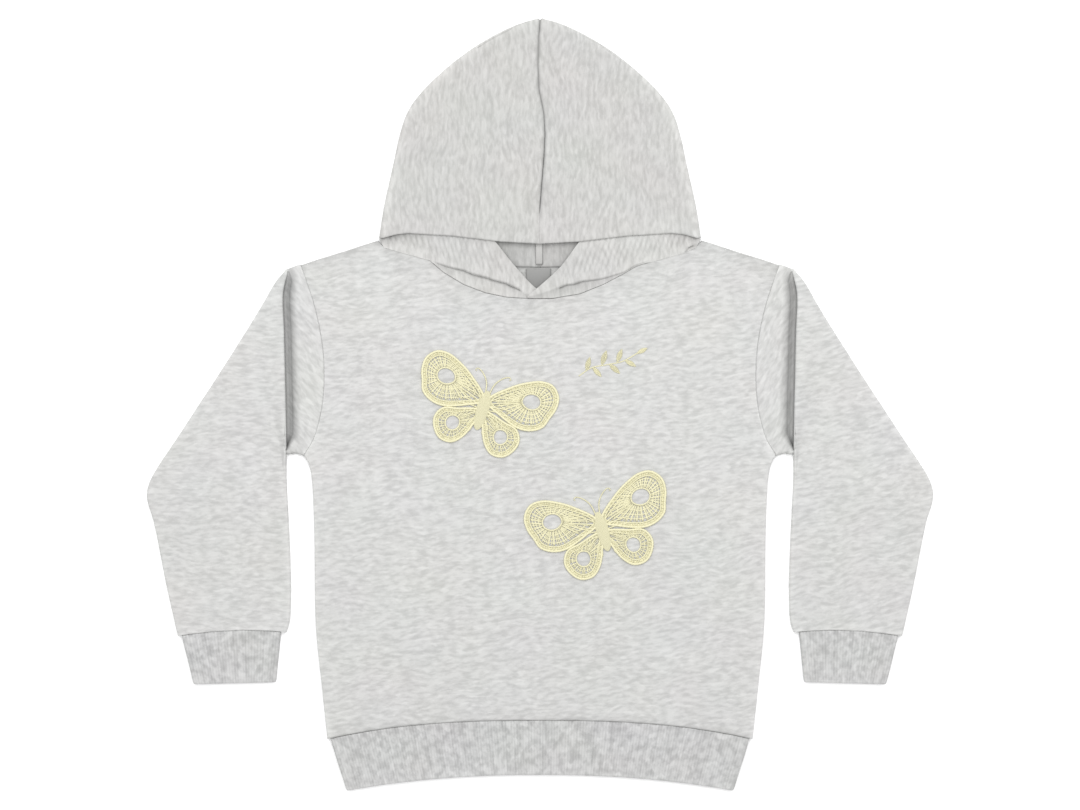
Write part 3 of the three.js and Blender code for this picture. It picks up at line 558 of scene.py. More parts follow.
def sleeve_line(share, is_front, rows):
    """One line of the sleeve from the armhole to the cuff, at a share of the way round from its top edge."""
    start = armhole(share) + [FINE_SEAM / 2 + LOW_SEAM_GAP * float(ease(share, 0.9, 1)), 0]
    edge = sleeve_fold(share)
    width = np.linalg.norm(edge - start)
    amount = float(ease(share, *PLEAT_OPENS) * (1 - ease(share, *PLEAT_CLOSES))) if is_front else 0.0
    closing = float(ease(share, *GAP_NARROWS))
    gap = max(PLEAT_GAP * min(amount, 1 - GAP_NARROWING * closing), LEAST_GAP)
    low = mix(SEAM_Z, PLEAT_LOW_Z, amount)
    high = mix(SLEEVE_Z, FOLD_Z, amount)
    room = np.interp(edge[1], SLEEVE_TOP[:, 1], SLEEVE_TOP[:, 0]) - edge[0]
    reach = min(mix(PLEAT_START, PLEAT_DEPTH, amount), TURN_ROOM * room - TURN_CLEARANCE)
    plateau = mix(SEAM_Z, STRIP_Z, float(ease(min(share, 1 - share), 0.01, 0.12)) if is_front else 0.0)
    dark = (GAP_SHADE + CLOSING_SHADE * closing) * amount
    soft_edge = SHADOW_WIDTH * (1 - 0.8 * closing)
    glow = SEAM_GLOW[0] * (1 + float(ease(share, 0.6, 0.9))) * float(is_front)

    near = np.linspace(0, 1, STRIP_PARTS + 1)[:-1] * (1 - STRIP_DROP[0][0] * gap / width)
    widths, rises = np.array(STRIP_DROP).T
    parts = np.concatenate([near, 1 - widths * gap / width])
    beyond = (1 - parts) * width - gap
    shades = dark * np.maximum(1 - np.maximum(beyond, 0) / soft_edge, 0) ** SHADOW_POWER
    shades[STRIP_PARTS:] *= read_table(widths, GAP_DARKNESS)
    shades[:STRIP_PARTS] -= fading(near * width, (glow, SEAM_GLOW[1]))
    strip = mix(start, edge, parts[:, None])
    heights = np.concatenate([rounded(near * width, SEAM_Z, plateau, 0.005), mix(low, plateau, rises)])
    lift = creases(strip[:, 0], strip[:, 1], STRIP_CREASES) * ease(parts, 0, 0.15) * (1 - ease(parts, 0.6, 0.75))
    heights = heights + lift * amount

    section = np.array(pleat_section(reach, low, high))
    flats = np.vstack([strip, edge + (edge - start) / width * section[:, :1]])
    parts = np.concatenate([parts, np.ones(len(section))])
    flats[:, 1] += SLEEVE_ARCH * float(ease(share, 0.85, 1)) * np.sin(math.pi * np.minimum(parts, 0.9))
    hidden = np.arange(len(section)) < len(section) - PLEAT_TURNS + 1

    plan = sleeve_plan(share, 1 - SLEEVE_DOWNS)
    wave = SLEEVE_Z + soft_wave(plan[:, 0], plan[:, 1]) + creases(plan[:, 0], plan[:, 1], rows)
    wave = wave + pucker(plan[:, 0], 1 - SLEEVE_DOWNS, SLEEVE_PUCKER)
    settled = mix(high, wave, ease(SLEEVE_DOWNS, 0.02, 0.15))
    settled = mix(settled, SEAM_Z + 0.0004, ease(SLEEVE_DOWNS, 0.975, 1))
    cuff_light = fading((1 - SLEEVE_DOWNS) * SLEEVE_LENGTH, CUFF_LIGHT)
    return (np.vstack([flats, plan]), np.concatenate([heights, section[:, 1], settled]),
            np.concatenate([shades, 0.5 * dark * hidden, -cuff_light]))


def sleeve(side, material):
    round_share = ARM_ROUND / ARM_LENGTH
    inner_shares = np.linspace(round_share, 1 - round_share, 74)[1:-1]
    bends = np.array([0, 0.08, 0.3, 0.6, 1.0]) * round_share
    rises = np.array([0.5, 0.64, 0.85, 0.96, 1.0])
    shares = np.concatenate([bends, inner_shares, 1 - bends[::-1]])
    rise = np.concatenate([rises, np.ones(len(inner_shares)), rises[::-1]])
    lines = [sleeve_line(share, True, SLEEVE_CREASES[side]) for share in shares]
    heights = [mix(BACK_Z, z, up) for (_, z, _), up in zip(lines, rise)]
    first = lines[0][1]
    row = np.arange(len(first)) / len(first)
    for share, up in zip(shares[-2:0:-1], rise[-2:0:-1]):
        lines.append(sleeve_line(share, False, []))
        flat = lines[-1][0]
        lift = np.abs(soft_wave(flat[:, 0], flat[:, 1])) * 0.6 * float(ease(min(share, 1 - share), 0.04, 0.2))
        lift = lift * ease(row, 0.03, 0.3) * (1 - ease(row, 0.85, 0.96))
        heights.append(BACK_Z + lift if up == 1 else mix(BACK_Z, first, 1 - up))
    flats = np.array([flat for flat, _, _ in lines])
    grid = np.concatenate([flats, np.array(heights)[..., None]], axis=2).transpose(1, 0, 2)
    # The strip beside the pleat is cut on the slant, so its map is turned.
    lean = np.where(np.arange(len(grid)) < STRIP_ROWS, math.radians(55), math.radians(4))[:, None]
    u = grid[..., 0] * np.cos(lean) + grid[..., 1] * np.sin(lean)
    v = -grid[..., 0] * np.sin(lean) + grid[..., 1] * np.cos(lean)
    from_side = np.concatenate([np.minimum(shares, 1 - shares), np.zeros(len(shares) - 2)]) * ARM_LENGTH
    shade = np.array([shades for _, _, shades in lines]).T
    shade[STRIP_ROWS:] -= fading(from_side, SLEEVE_SIDE_LIGHT)
    cloth = Cloth()
    cloth.add_wall(grid, np.stack([u + 0.4, v], axis=-1), is_round=True, shade=shade)
    piece = cloth.finish("Sleeve_" + side, "root", "sweatshirt", "sleeve_" + side, material, side == "left")


# The ribs are flat tubes of doubled cloth, finely ribbed on top.
BAND_TOP, CUFF_TOP = 0.0056, 0.0054
RIB_PITCH, RIB_DEPTH, RIB_STEPS, RIDGE_POWER = 0.0021, 0.00022, 6, 0.75
RIB_DOWNS = [0, 0.012, 0.03, 0.06, 0.11, 0.18, 0.26, 0.34, 0.42, 0.5, 0.58, 0.66, 0.74, 0.82, 0.88, 0.925, 0.95,
             0.967, 0.98, 0.99, 0.996, 1]
RIB_SWELL, RIB_SWELL_PITCH, RIB_SWAY = 0.00022, 0.026, 0.00006
LOW_TUCK, LOW_TUCK_REACH = 0.0011, 0.0022
HEM_TUCK, CUFF_TUCK, TUCK_REACH, SEAM_DIP = 0.0006, 0.0003, 0.0010, (0.00025, 0.006)
# Shade and light along the ribs: strength, reach. The seam's light is for each metre its tuck is less than the hem's.
GROOVE_SHADE, STITCH_SHADE = 0.09, (0.06, 0.0012)
FOLD_LIGHT, LOW_LIGHT, SEAM_LIGHT, SEAM_LIGHT_REACH = (0.07, 0.0025), (0.05, 0.007), 400, 0.0012
CUFF_SEEDS, HEM_SEED = {"left": 1.9, "right": 4.3}, 0.7


def rib_tube(plan, width, top, seed, tucked):
    """A flat ribbed tube. Its seam is tucked in by the given depth, and its low edge is a fold."""
    ribs = round(width / RIB_PITCH)
    over = np.arange(ribs * RIB_STEPS + 1) / (ribs * RIB_STEPS)
    under = np.linspace(1, 0, 34)[1:-1]
    half = RIB_CLOTH / 2
    radius = (top - RIB_CLOTH) / 2
    across = np.concatenate([over, under])
    on_top = np.concatenate([np.ones(len(over)), np.zeros(len(under))])
    from_side = np.minimum(across, 1 - across) * width
    bend = np.sqrt(1 - (1 - np.clip(from_side / (radius * 1.3), 0, 1)) ** 2)
    z = half + radius + radius * bend * np.where(on_top > 0, 1, -1)
    shares = mix(half / width, 1 - half / width, across)
    phase = across * ribs
    ridge = np.abs(np.sin(math.pi * phase)) ** RIDGE_POWER
    uneven = 1 + 0.5 * np.sin(phase * 1.7 + seed) * np.sin(phase * 0.31 + 2 * seed)
    stitched = 0.5 + 0.5 * np.sin(phase * 0.23 + seed) * np.sin(phase * 0.61 + 3 * seed)
    height = abs(plan(0.5, 0)[1] - plan(0.5, 1)[1])
    grid, raises, cloth, shades = [], [], [], []
    for down in RIB_DOWNS[::-1]:
        flat_x, flat_h = plan(shares, down)
        from_low, from_seam = (1 - down) * height, down * height
        tuck = LOW_TUCK * (1 - math.sqrt(1 - (1 - min(from_low / LOW_TUCK_REACH, 1)) ** 2))
        dip = stitched * fading(from_seam, (tucked, TUCK_REACH)) + fading(from_seam, SEAM_DIP)
        swell = pucker(across * width, 0.0, (seed + 3 * down, RIB_SWELL_PITCH, RIB_SWELL, 1.0)) - RIB_SWELL
        sway = RIB_SWAY * np.sin(down * 9 + across * 23 + seed) * on_top
        grid.append(np.column_stack([flat_x + sway, flat_h, z]))
        raises.append((RIB_DEPTH * (ridge - 1) * uneven - tuck - dip + swell * bend) * on_top)
        shade = GROOVE_SHADE * (1 - ridge) * uneven + stitched * fading(from_seam, STITCH_SHADE)
        light = fading(from_low, FOLD_LIGHT) + fading(from_low, LOW_LIGHT)
        light = light + fading(from_seam, ((HEM_TUCK - tucked) * SEAM_LIGHT, SEAM_LIGHT_REACH))
        shades.append((shade - light) * on_top)
        cloth.append(np.column_stack([across * width, np.full(len(across), down * 0.05) + 0.3 * (1 - on_top)]))
    mesh = Cloth()
    mesh.add_wall(np.array(grid), np.array(cloth), RIB_CLOTH, True, np.array(raises), np.array(shades))
    return mesh


def hem_plan(across, down):
    side = 2 * across - 1
    high_h = hem_seam(side * BAND_TOP_HALF) - FINE_SEAM / 2
    low_h = HEM_LOW_RISE * (1 - abs(side) ** HEM_LOW_POWER)
    return mix(side * BAND_TOP_HALF, side * BAND_LOW_HALF, down), mix(high_h, low_h, down)


def cuff_plan(across, down):
    high_x = mix(CUFF_TOP_INNER, CUFF_TOP_OUTER, across)
    low_x = mix(CUFF_LOW_INNER, CUFF_LOW_OUTER, across)
    low_h = CUFF_LOW_H + CUFF_LOW_TILT * (1 - across)
    high_h = CUFF_TOP_H - FINE_SEAM / 2 + read_table(1 - across, CUFF_SEAM_BOW)
    return mix(high_x, low_x, down), mix(high_h, low_h, down)


def hem_band(material):
    mesh = rib_tube(hem_plan, 2 * BAND_LOW_HALF, BAND_TOP, HEM_SEED, HEM_TUCK)
    piece = mesh.finish("Hem_band", "root", "rib", "hem_band", material)


def cuff(side, material):
    mesh = rib_tube(cuff_plan, CUFF_LOW_OUTER - CUFF_LOW_INNER, CUFF_TOP, CUFF_SEEDS[side], CUFF_TUCK)
    piece = mesh.finish("Cuff_" + side, "root", "rib", "cuff_" + side, material, side == "left")


# The hood: each half has a back layer, a side fold and a crown, and a lip at the front of the neck.
CROWN_Z, CROWN_EDGE_Z = 0.0050, 0.0061
HOOD_BACK_LENGTH, HOOD_FRONT_LENGTH = 0.19, 0.17
FOLD_BENDS = np.radians(np.linspace(-90, 90, 13))
# Rows down the hood from its top, and columns of the crown from its side fold in to the centre seam, as shares.
HOOD_DOWNS = np.concatenate([
    [0.006, 0.012, 0.02, 0.03, 0.045], np.linspace(0.06, 0.965, 102), [0.975, 0.985, 0.993, 1],
])
CROWN_STEPS = np.concatenate([np.linspace(1, 0.06, 86), [0.045, 0.032, 0.022, 0.014, 0.008, 0.003, 0]])
# The centre seam: how far it bows at each height, how deep it sinks, and the welt beside it.
HOOD_SEAM_BOW = [
    (0.400, 0.0), (0.427, 0.0), (0.436, -0.0008), (0.456, 0.0), (0.477, 0.0016), (0.495, 0.0031), (0.512, 0.0039),
    (0.528, 0.0031), (0.547, -0.0008), (0.566, -0.0016), (0.603, -0.0008),
]
BOW_REACH, SEAM_HALF, SEAM_SHADE_HALF = 0.035, 0.0011, 0.0012
SEAM_SINKS, SEAM_SINKS_H = (0.0003, 0.0008), (0.446, 0.456)
WELT_HEIGHT, WELT_X, WELT_HALF = 0.00035, 0.0042, 0.0026
HOOD_PUCKER = (2.6, 0.008, 0.00016, 0.006)
# The crown's turned hem: distance from its front edge, height.
CROWN_HEM = [(0, -0.0003), (0.0008, 0.0), (0.004, 0.0001), (0.019, 0.0001), (0.0215, -0.0002), (0.024, 0)]
HOOD_SEAM_SHADE, SIDE_GLOW, SIDE_GLOW_HALF, LOW_GLOW = 0.5, 0.15, 0.0048, (0.03, 0.02)
INSIDE_SHADE, INSIDE_SIDE_SHADE, INSIDE_SEAM_SHADE = 0.10, 0.12, (0.3, 0.0008)
hood_side = smooth_line(HOOD_SIDE)


def bell(distance, half):
    return np.exp(-(distance / half) ** 2)


def hood_layer(low_x, low_h, down, centre_low, inset):
    """One row of the back layer or the crown, from the centre seam to the side fold."""
    border, corner = hood_side(down), hood_side(1)
    share = low_x / corner[0]
    bend = down ** 3 * (low_h - mix(centre_low, corner[1], share))
    centre_h = mix(LENGTH - 0.0008, centre_low, down)
    return np.maximum(share * (border[0] - inset), FINE_SEAM / 2), mix(centre_h, border[1], share) + bend


def crown_rise(x, h, down, out, side, way):
    """How far the crown's waves, creases, centre seam and hem lift each of its points."""
    keep = min(1, out / 0.06)
    wave = soft_wave(x * way, h) * float(ease(1 - down, 0, 0.2)) * keep
    wave = wave + creases(x, h, HOOD_CREASES[side]) * keep * float(ease(1 - down, 0, 0.06))
    seam = -mix(*SEAM_SINKS, ease(h, *SEAM_SINKS_H)) * bell(x, SEAM_HALF) + WELT_HEIGHT * bell(x - WELT_X, WELT_HALF)
    seam = seam + pucker(down * HOOD_FRONT_LENGTH, x, HOOD_PUCKER)
    return wave + seam * min(1, out / 0.02) + read_table((1 - down) * HOOD_FRONT_LENGTH, CROWN_HEM)


def hood_half(side, material):
    way = 1 if side == "right" else -1
    inset = CLOTH / 2
    crown_x = CROWN_EDGE[-1][0] * CROWN_STEPS[1:]
    crown_low = read_table(crown_x, CROWN_EDGE)
    back_x = np.linspace(0, BACK_NECK[-1][0] * 0.985, 26)
    back_low = read_table(back_x, BACK_NECK) + FINE_SEAM / 2
    rows, shades = [], []
    for down in HOOD_DOWNS:
        out, border_h = hood_side(down)
        top_z = mix(CROWN_Z, CROWN_EDGE_Z, float(ease(down, 0.55, 0.95)))
        radius = (top_z - BACK_Z) / 2
        turned = radius * min(1, out / 0.012)
        bx, bh = hood_layer(back_x, back_low, down, back_low[0], inset + turned)
        inward = 1 - np.cos(FOLD_BENDS)
        fold_x = np.maximum(out - inset - inward * turned, FINE_SEAM / 2 + 0.0002 * np.cos(FOLD_BENDS))
        fold_h = border_h - (inset + inward * 0.0006) * (1 - down)
        cx, ch = hood_layer(crown_x, crown_low, down, CROWN_EDGE[0][1], inset + turned)
        points = np.vstack([stack(bx, bh, BACK_Z),
                            stack(fold_x, fold_h, BACK_Z + radius + radius * np.sin(FOLD_BENDS)),
                            stack(cx, ch, top_z + crown_rise(cx, ch, down, out, side, way))])
        shift = read_table(points[:, 1], HOOD_SEAM_BOW) * way * bell(points[:, 0], BOW_REACH)
        points[:, 0] += shift * ease(out - points[:, 0], 0.002, 0.022)
        rows.append(points)
        crown_shade = HOOD_SEAM_SHADE * ease(ch, *SEAM_SINKS_H) * bell(cx, SEAM_SHADE_HALF)
        crown_shade = crown_shade - SIDE_GLOW * bell(out - inset - cx, SIDE_GLOW_HALF)
        crown_shade = crown_shade - fading((1 - down) * HOOD_FRONT_LENGTH, LOW_GLOW)
        shades.append(np.concatenate([np.zeros(len(bx)), np.full(len(FOLD_BENDS), -SIDE_GLOW), crown_shade]))
    grid = np.array(rows)
    inside = np.zeros(grid.shape[:2])
    inside[:, :len(back_x)] = (INSIDE_SHADE + INSIDE_SIDE_SHADE * ease(back_x, 0.006, 0.030)[None, :]
                               + fading((1 - HOOD_DOWNS) * HOOD_BACK_LENGTH, INSIDE_SEAM_SHADE)[:, None])
    mesh = Cloth()
    mesh.add_wall(grid, grid[..., :2] * [way, 1] + [1.2, 0], shade=np.array(shades), shade_inner=inside)
    lip_wall(mesh, side, way)
    piece = mesh.finish("Hood_" + side, "root", "hood_cloth", "hood_" + side, material, side == "left")


# The free edges of the hood's two lips, and the corner of the neck at which each of them starts.
LIP_CORNER = (0.1248, 0.4302)
LIP_EDGES = {
    "left": [(-0.1248, 0.4340), (-0.1000, 0.4380), (-0.0600, 0.4380), (-0.0400, 0.4345),
             (-0.0335, 0.4270), (-0.0195, 0.4095), (-0.0035, 0.3926), (0.0070, 0.3865)],
    "right": [(-0.0100, 0.3859), (-0.0031, 0.3915), (0.0164, 0.4095), (0.0290, 0.4265),
              (0.0360, 0.4345), (0.0600, 0.4380), (0.1000, 0.4380), (0.1248, 0.4340)],
}
# How far above the neck seam each lip's turned hem ends, by x from its own side.
LIP_STEPS = {
    "left": [(-0.020, 0.0008), (0.0000, 0.0015), (0.0135, 0.0038), (0.0204, 0.0088), (0.0290, 0.0115),
             (0.0460, 0.0126), (0.0650, 0.0103), (0.0757, 0.0060), (0.084, 0.0012), (0.125, 0.0012)],
    "right": [(-0.010, 0.0012), (-0.0015, 0.0030), (0.0106, 0.0078), (0.0262, 0.0103), (0.0383, 0.0095),
              (0.0538, 0.0043), (0.0659, 0.0012), (0.125, 0.0012)],
}
# How high each lip lies where the two cross, and where it comes to that height.
LIP_LAP_Z = {"left": 0.0039, "right": 0.0058}
LIP_LAP_X = {"left": (-0.020, -0.010), "right": (0.018, 0.010)}
# A lip's height at the foot of its hem, over the rest of it, and at its end beside the shoulder.
LIP_FOOT_Z, LIP_HIGH_Z, TONGUE_Z = 0.0035, 0.0050, 0.00345
LIP_WALE, WALE_HEIGHT, WALE_SHADE, LIP_GLOW = 0.0041, 0.0003, 0.13, 0.085
LIP_PUCKER = (4.0, 0.013, 0.00022, 0.008)
HEM_SHADOW = {"left": 0.0048, "right": 0.0078}
UNDER_CROWN = {"left": 0.05, "right": -0.15}
HEM_SHADE, CORNER_SHADE, CREASE_SHADE, CREASE_SHADE_FROM = 0.22, 0.36, 160, 0.0003
# Rows of a lip: shares of the way up to the hem's step, steps across it, and shares of the rest.
LIP_FOOT_ROWS = np.array([0, 0.08, 0.25, 0.5, 0.75])
LIP_STEP_ROWS = np.array([-0.0009, -0.0006, -0.0003, 0, 0.0003, 0.0006, 0.0009, 0.0012])
LIP_HIGH_ROWS = np.linspace(0.06, 1, 44)
UNDER_STEP, OVER_STEP, STEP_HALF, STEP_MOST = 0.0010, 0.0013, 0.0009, 0.45


def lip_wall(mesh, side, way):
    """The lower part of a hood half, from the neck seam to its free edge and on under the crown."""
    if side == "left":
        low_rows = [(-LIP_CORNER[0], LIP_CORNER[1])] + FRONT_NECK[:NECK_MIDDLE + 1]
    else:
        low_rows = FRONT_NECK[NECK_MIDDLE - 1:] + [LIP_CORNER]
    shares = np.linspace(0, 1, 241)
    low = broken_line(low_rows)(shares)
    low[:, 1] += mix(SEAM / 2, -0.0006, ease(np.abs(low[:, 0]), 0.082, 0.090))
    free = smooth_line(LIP_EDGES[side])(shares)
    span = np.linalg.norm(free - low, axis=1)
    step_at = np.minimum(read_table(low[:, 0] * way, LIP_STEPS[side]), span * STEP_MOST)
    above = np.concatenate([
        LIP_FOOT_ROWS[:, None] * np.maximum(step_at - UNDER_STEP, 0),
        step_at + LIP_STEP_ROWS[:, None],
        step_at + OVER_STEP + LIP_HIGH_ROWS[:, None] * (span - step_at - OVER_STEP),
    ])
    ups = np.clip(above / span, 0, 1)
    above = ups * span
    flat = mix(low[None], free[None], ups[..., None])
    x, h = flat[..., 0], flat[..., 1]
    from_middle = np.abs(x)
    crown_h = read_table(from_middle, CROWN_EDGE)
    below_step = step_at - above
    is_over = ease(below_step, STEP_HALF, -STEP_HALF)
    open_share = ease(from_middle, 0.086, 0.076)
    under = ease(h, crown_h - 0.010, crown_h - 0.002)

    lap = ease(x, *LIP_LAP_X[side])
    high_z = mix(LIP_HIGH_Z, LIP_Z, under)
    seam_z, foot_z, high_z = (mix(z, LIP_LAP_Z[side], lap) for z in (SEAM_Z, LIP_FOOT_Z, high_z))
    foot = mix(seam_z, foot_z, ease(above / np.maximum(step_at, 0.001), 0, 0.9))
    corner_z = mix(FRONT_Z + soft_wave(x, h) - 0.0002, LIP_Z, ease(above, 0, 0.010))
    z = mix(corner_z, mix(foot, high_z, is_over), open_share)
    z = mix(z, TONGUE_Z, ease(from_middle, 0.108, 0.125) * ease(above, 0, 0.005))
    soft = creases(from_middle, h, LIP_CREASES[side]) * (1 - under * 0.5)
    soft = soft + pucker(x, above, LIP_PUCKER) * ease(above, 0, 0.001)
    wale = np.sin((x * way - 0.35 * h) / LIP_WALE * 2 * math.pi) * ease(span - above, 0.002, 0.010)
    soft = soft + WALE_HEIGHT * wale * ease(-below_step, 0.002, 0.009)

    hem_shadow = np.exp(-(np.maximum(below_step, 0) / HEM_SHADOW[side]) ** 1.3)
    shade = HEM_SHADE * hem_shadow * (1 - is_over) * open_share
    under_crown = CORNER_SHADE * ease(from_middle, 0.088, 0.110) + UNDER_CROWN[side]
    shade = shade + under_crown * bell(crown_h - h, 0.0042)
    shade = shade + CREASE_SHADE * np.maximum(-soft - CREASE_SHADE_FROM, 0)
    shade = shade + WALE_SHADE * (0.5 - 0.5 * wale) * ease(-below_step, 0.003, 0.009)
    shade = np.clip(shade - LIP_GLOW, -LIP_GLOW, 0.5)
    grid = stack(x, h, z + soft)
    cloth_map = np.stack([x + 0.9, h + 0.25 * x], axis=-1)
    if side == "left":
        grid, cloth_map, shade = (grid * [-1, 1, 1])[:, ::-1], cloth_map[:, ::-1], shade[:, ::-1]
    mesh.add_wall(grid, cloth_map, shade=shade)


# The strip's bulge across its middle, and the painted shade that darkens it towards its low end and along its side
# edges.
STRIP_BULGE, STRIP_LOW_SHADE, STRIP_EDGE_SHADE = 0.0002, 0.34, 0.3


def strip(name, slot, node, box, material, columns=11, rows=25):
    """A flat strip that lies on the back of the neck."""
    x, width, low, high, thick = box
    across = np.linspace(-0.5, 0.5, columns)[None, :]
    up = np.linspace(0, 1, rows)[:, None]
    z = CLOTH + SEAM + thick / 2 + STRIP_BULGE * (1 - (2 * across) ** 2)
    grid = stack(x + across * width, mix(low, high, up), z)
    shade = STRIP_LOW_SHADE * (1 - up) + STRIP_EDGE_SHADE * ease(np.abs(across), 0.44, 0.5)
    cloth = Cloth()
    cloth.add_wall(grid, grid[..., :2] + [0.5, 0.5], thick, shade=shade)
    piece = cloth.finish(name, "root", slot, node, material)


# The lace butterflies, each wing in its butterfly's own frame: out from its body, and up towards its head.
FOREWING = [
    (0.0005, 0.0040), (0.0165, 0.0210), (0.0290, 0.0290), (0.0400, 0.0330), (0.0500, 0.0320), (0.0570, 0.0240),
    (0.0575, 0.0140), (0.0545, 0.0050), (0.0515, -0.0030), (0.0435, -0.0085), (0.0320, -0.0100), (0.0120, -0.0030),
]
HINDWING = [
    (0.0005, -0.0040), (0.0200, -0.0075), (0.0320, -0.0110), (0.0365, -0.0200), (0.0340, -0.0290),
    (0.0270, -0.0360), (0.0170, -0.0365), (0.0090, -0.0295), (0.0035, -0.0170),
]
# Each wing: outline, window, seed, shares of the way in at which a ring of net runs, radius of its thread.
# A window is its middle's out and up, and its half sizes.
WINGS = [
    (FOREWING, (0.0365, 0.0145, 0.0072, 0.0061), 1.0, (0.22, 0.45, 0.7), 0.00047),
    (HINDWING, (0.0205, -0.0205, 0.0056, 0.0060), 2.0, (0.45,), 0.00038),
]
# The veins, from out, up to out, up.
VEINS = [
    (0.003, 0.004, 0.022, 0.017), (0.003, 0.002, 0.025, 0.009), (0.003, 0.000, 0.024, 0.002),
    (0.003, -0.003, 0.022, -0.003), (0.003, -0.006, 0.014, -0.013), (0.0025, -0.008, 0.0095, -0.019),
    (0.002, -0.010, 0.0055, -0.023),
]
ANTENNA = [(0.0012, 0.0070), (0.0035, 0.0190), (0.0090, 0.0260), (0.0135, 0.0280), (0.0150, 0.0265), (0.0138, 0.0255)]
# Each butterfly: name, x and h of its middle, turn in degrees, scale.
BUTTERFLIES = [
    ("upper", -0.0438, 0.3005, -17.0, 0.955),
    ("lower", 0.0478, 0.2062, 16.0, 0.985),
]
# Radii and heights of the lace's cords over the front, and its body's half sizes, place and cross ridges.
RIM_CORD, RIM_BAND, BAND_MOST = 0.0009, 0.0044, 0.62
WING_STEPS, BAR_PITCH, WINDOW_EDGE = 150, 0.0021, 0.97
BAND_CORD, WINDOW_CORD, BAR_CORD, VEIN_CORD = 0.00055, 0.00062, 0.00048, 0.00055
BAND_Z, NET_Z, WINDOW_Z, WEB_Z, BAR_Z, VEIN_Z, ANTENNA_Z = 0.00065, 0.0004, 0.0006, 0.00028, 0.0007, 0.00085, 0.0005
NET_FLATNESS, WEB_THICKNESS, LACE_GAP = 0.7, 0.0002, 0.0002
BODY_HALF, BODY_LENGTH_HALF, BODY_UP, BODY_Z, BODY_RISE = 0.0051, 0.0158, -0.0038, 0.0013, 0.00115
BODY_RIDGE, BODY_RIDGES, BODY_SHADE = 0.08, 80, 0.2


def lace_wing(mesh, outline_rows, window, place, seed, rings, net):
    """One wing: a thick cord round it, eyelets inside that, a sparse net and a corded window."""
    outline = smooth_line(outline_rows, closed=True)
    middle_out, middle_up, half_out, half_up = window
    steps = np.arange(WING_STEPS)
    rim = outline(steps / WING_STEPS)
    angle = np.arctan2((rim[:, 1] - middle_up) / half_up, (rim[:, 0] - middle_out) / half_out)
    hole = np.column_stack([middle_out + half_out * np.cos(angle), middle_up + half_up * np.sin(angle)])
    depth = np.linalg.norm(hole - rim, axis=1)
    band = np.clip(RIM_BAND / depth, 0, BAND_MOST)
    edge = RIM_CORD / depth
    twist = 1 + 0.10 * np.sin(steps * 2.1 + seed)

    def at(inward, z):
        flat = mix(rim, hole, np.asarray(inward)[..., None])
        return place(flat[:, 0], flat[:, 1], z)

    mesh.add_cord(at(edge, RIM_CORD * 0.95), RIM_CORD * twist, sides=8, closed=True)
    mesh.add_cord(at(band, BAND_Z), BAND_CORD * twist, closed=True)
    for share in rings:
        ring = at(band + (WINDOW_EDGE - band) * share, NET_Z)
        mesh.add_cord(ring, net * twist, closed=True, flatten=NET_FLATNESS)
    mesh.add_cord(at(WINDOW_EDGE, WINDOW_Z), WINDOW_CORD * twist, closed=True)
    web = np.array([at(row, WEB_Z) for row in (edge, band * 0.55, band)])
    over = mesh.add_points(web, web, is_round=True)
    under = mesh.add_points(web - [0, 0, WEB_THICKNESS], web, is_round=True)
    mesh.add_quads(over)
    mesh.add_quads(under, flipped=True)
    mesh.add_quads((over[0], under[0]), flipped=True)
    mesh.add_quads((over[-1], under[-1]))
    bars = round(outline.length / BAR_PITCH)
    for k in range(bars):
        i = int((k + 0.3 * math.sin(k * 2.3 + seed)) / bars * WING_STEPS) % WING_STEPS
        j = (i + 2) % WING_STEPS
        route = mix(rim[i], hole[i], np.linspace(edge[i], band[i], 4)[:, None])
        mesh.add_cord(place(route[:, 0], route[:, 1], BAR_Z), BAR_CORD)
        start, end = mix(rim[i], hole[i], band[i]), mix(rim[j], hole[j], WINDOW_EDGE)
        route = mix(start, end, np.linspace(0, 1, 7)[:, None])
        mesh.add_cord(place(route[:, 0], route[:, 1], NET_Z), net, sides=5, flatten=NET_FLATNESS)


def butterfly(name, x, h, turn, scale, material):
    cos, sin = math.cos(math.radians(turn)), math.sin(math.radians(turn))
    mesh = Cloth()

    def on_front(out, up, z):
        px = x + out * cos - up * sin
        ph = h + out * sin + up * cos
        return stack(px, ph, front_height(px, ph) + CLOTH / 2 + z)

    for side in (1, -1):
        def place(out, up, z, side=side):
            return on_front(side * scale * out, scale * up, LACE_GAP + z)

        for outline, window, seed, rings, net in WINGS:
            lace_wing(mesh, outline, window, place, seed + side, rings, net)
        for out, up, far_out, far_up in VEINS:
            share = np.linspace(0, 1, 14)
            bow = 0.0008 * np.sin(share * math.pi)
            mesh.add_cord(place(mix(out, far_out, share), mix(up, far_up, share) + bow, VEIN_Z), VEIN_CORD)
        curl = smooth_line(ANTENNA)(np.linspace(0, 1, 40))
        mesh.add_cord(place(curl[:, 0], curl[:, 1], ANTENNA_Z), np.linspace(0.00055, 0.00035, 40))
    up = np.cos(np.linspace(0.06, math.pi - 0.06, 40))[:, None]
    round_body = np.linspace(0, 2 * math.pi, 28, endpoint=False)[None, :]
    girth = np.sqrt(1 - up ** 2) * (1 + BODY_RIDGE * np.sin(up * BODY_RIDGES))
    points = on_front(BODY_HALF * girth * np.cos(round_body), BODY_LENGTH_HALF * up + BODY_UP,
                      BODY_Z + BODY_RISE * girth * np.sin(round_body))
    ids = mesh.add_points(points, points, np.full(points.shape[:2], BODY_SHADE), is_round=True)
    mesh.add_quads(ids, flipped=True)
    mesh.faces.append(list(ids[0, :-1]))
    mesh.faces.append(list(ids[-1, :-1][::-1]))
    mesh.finish("Butterfly_" + name, "root", "lace", "butterfly_" + name, material)


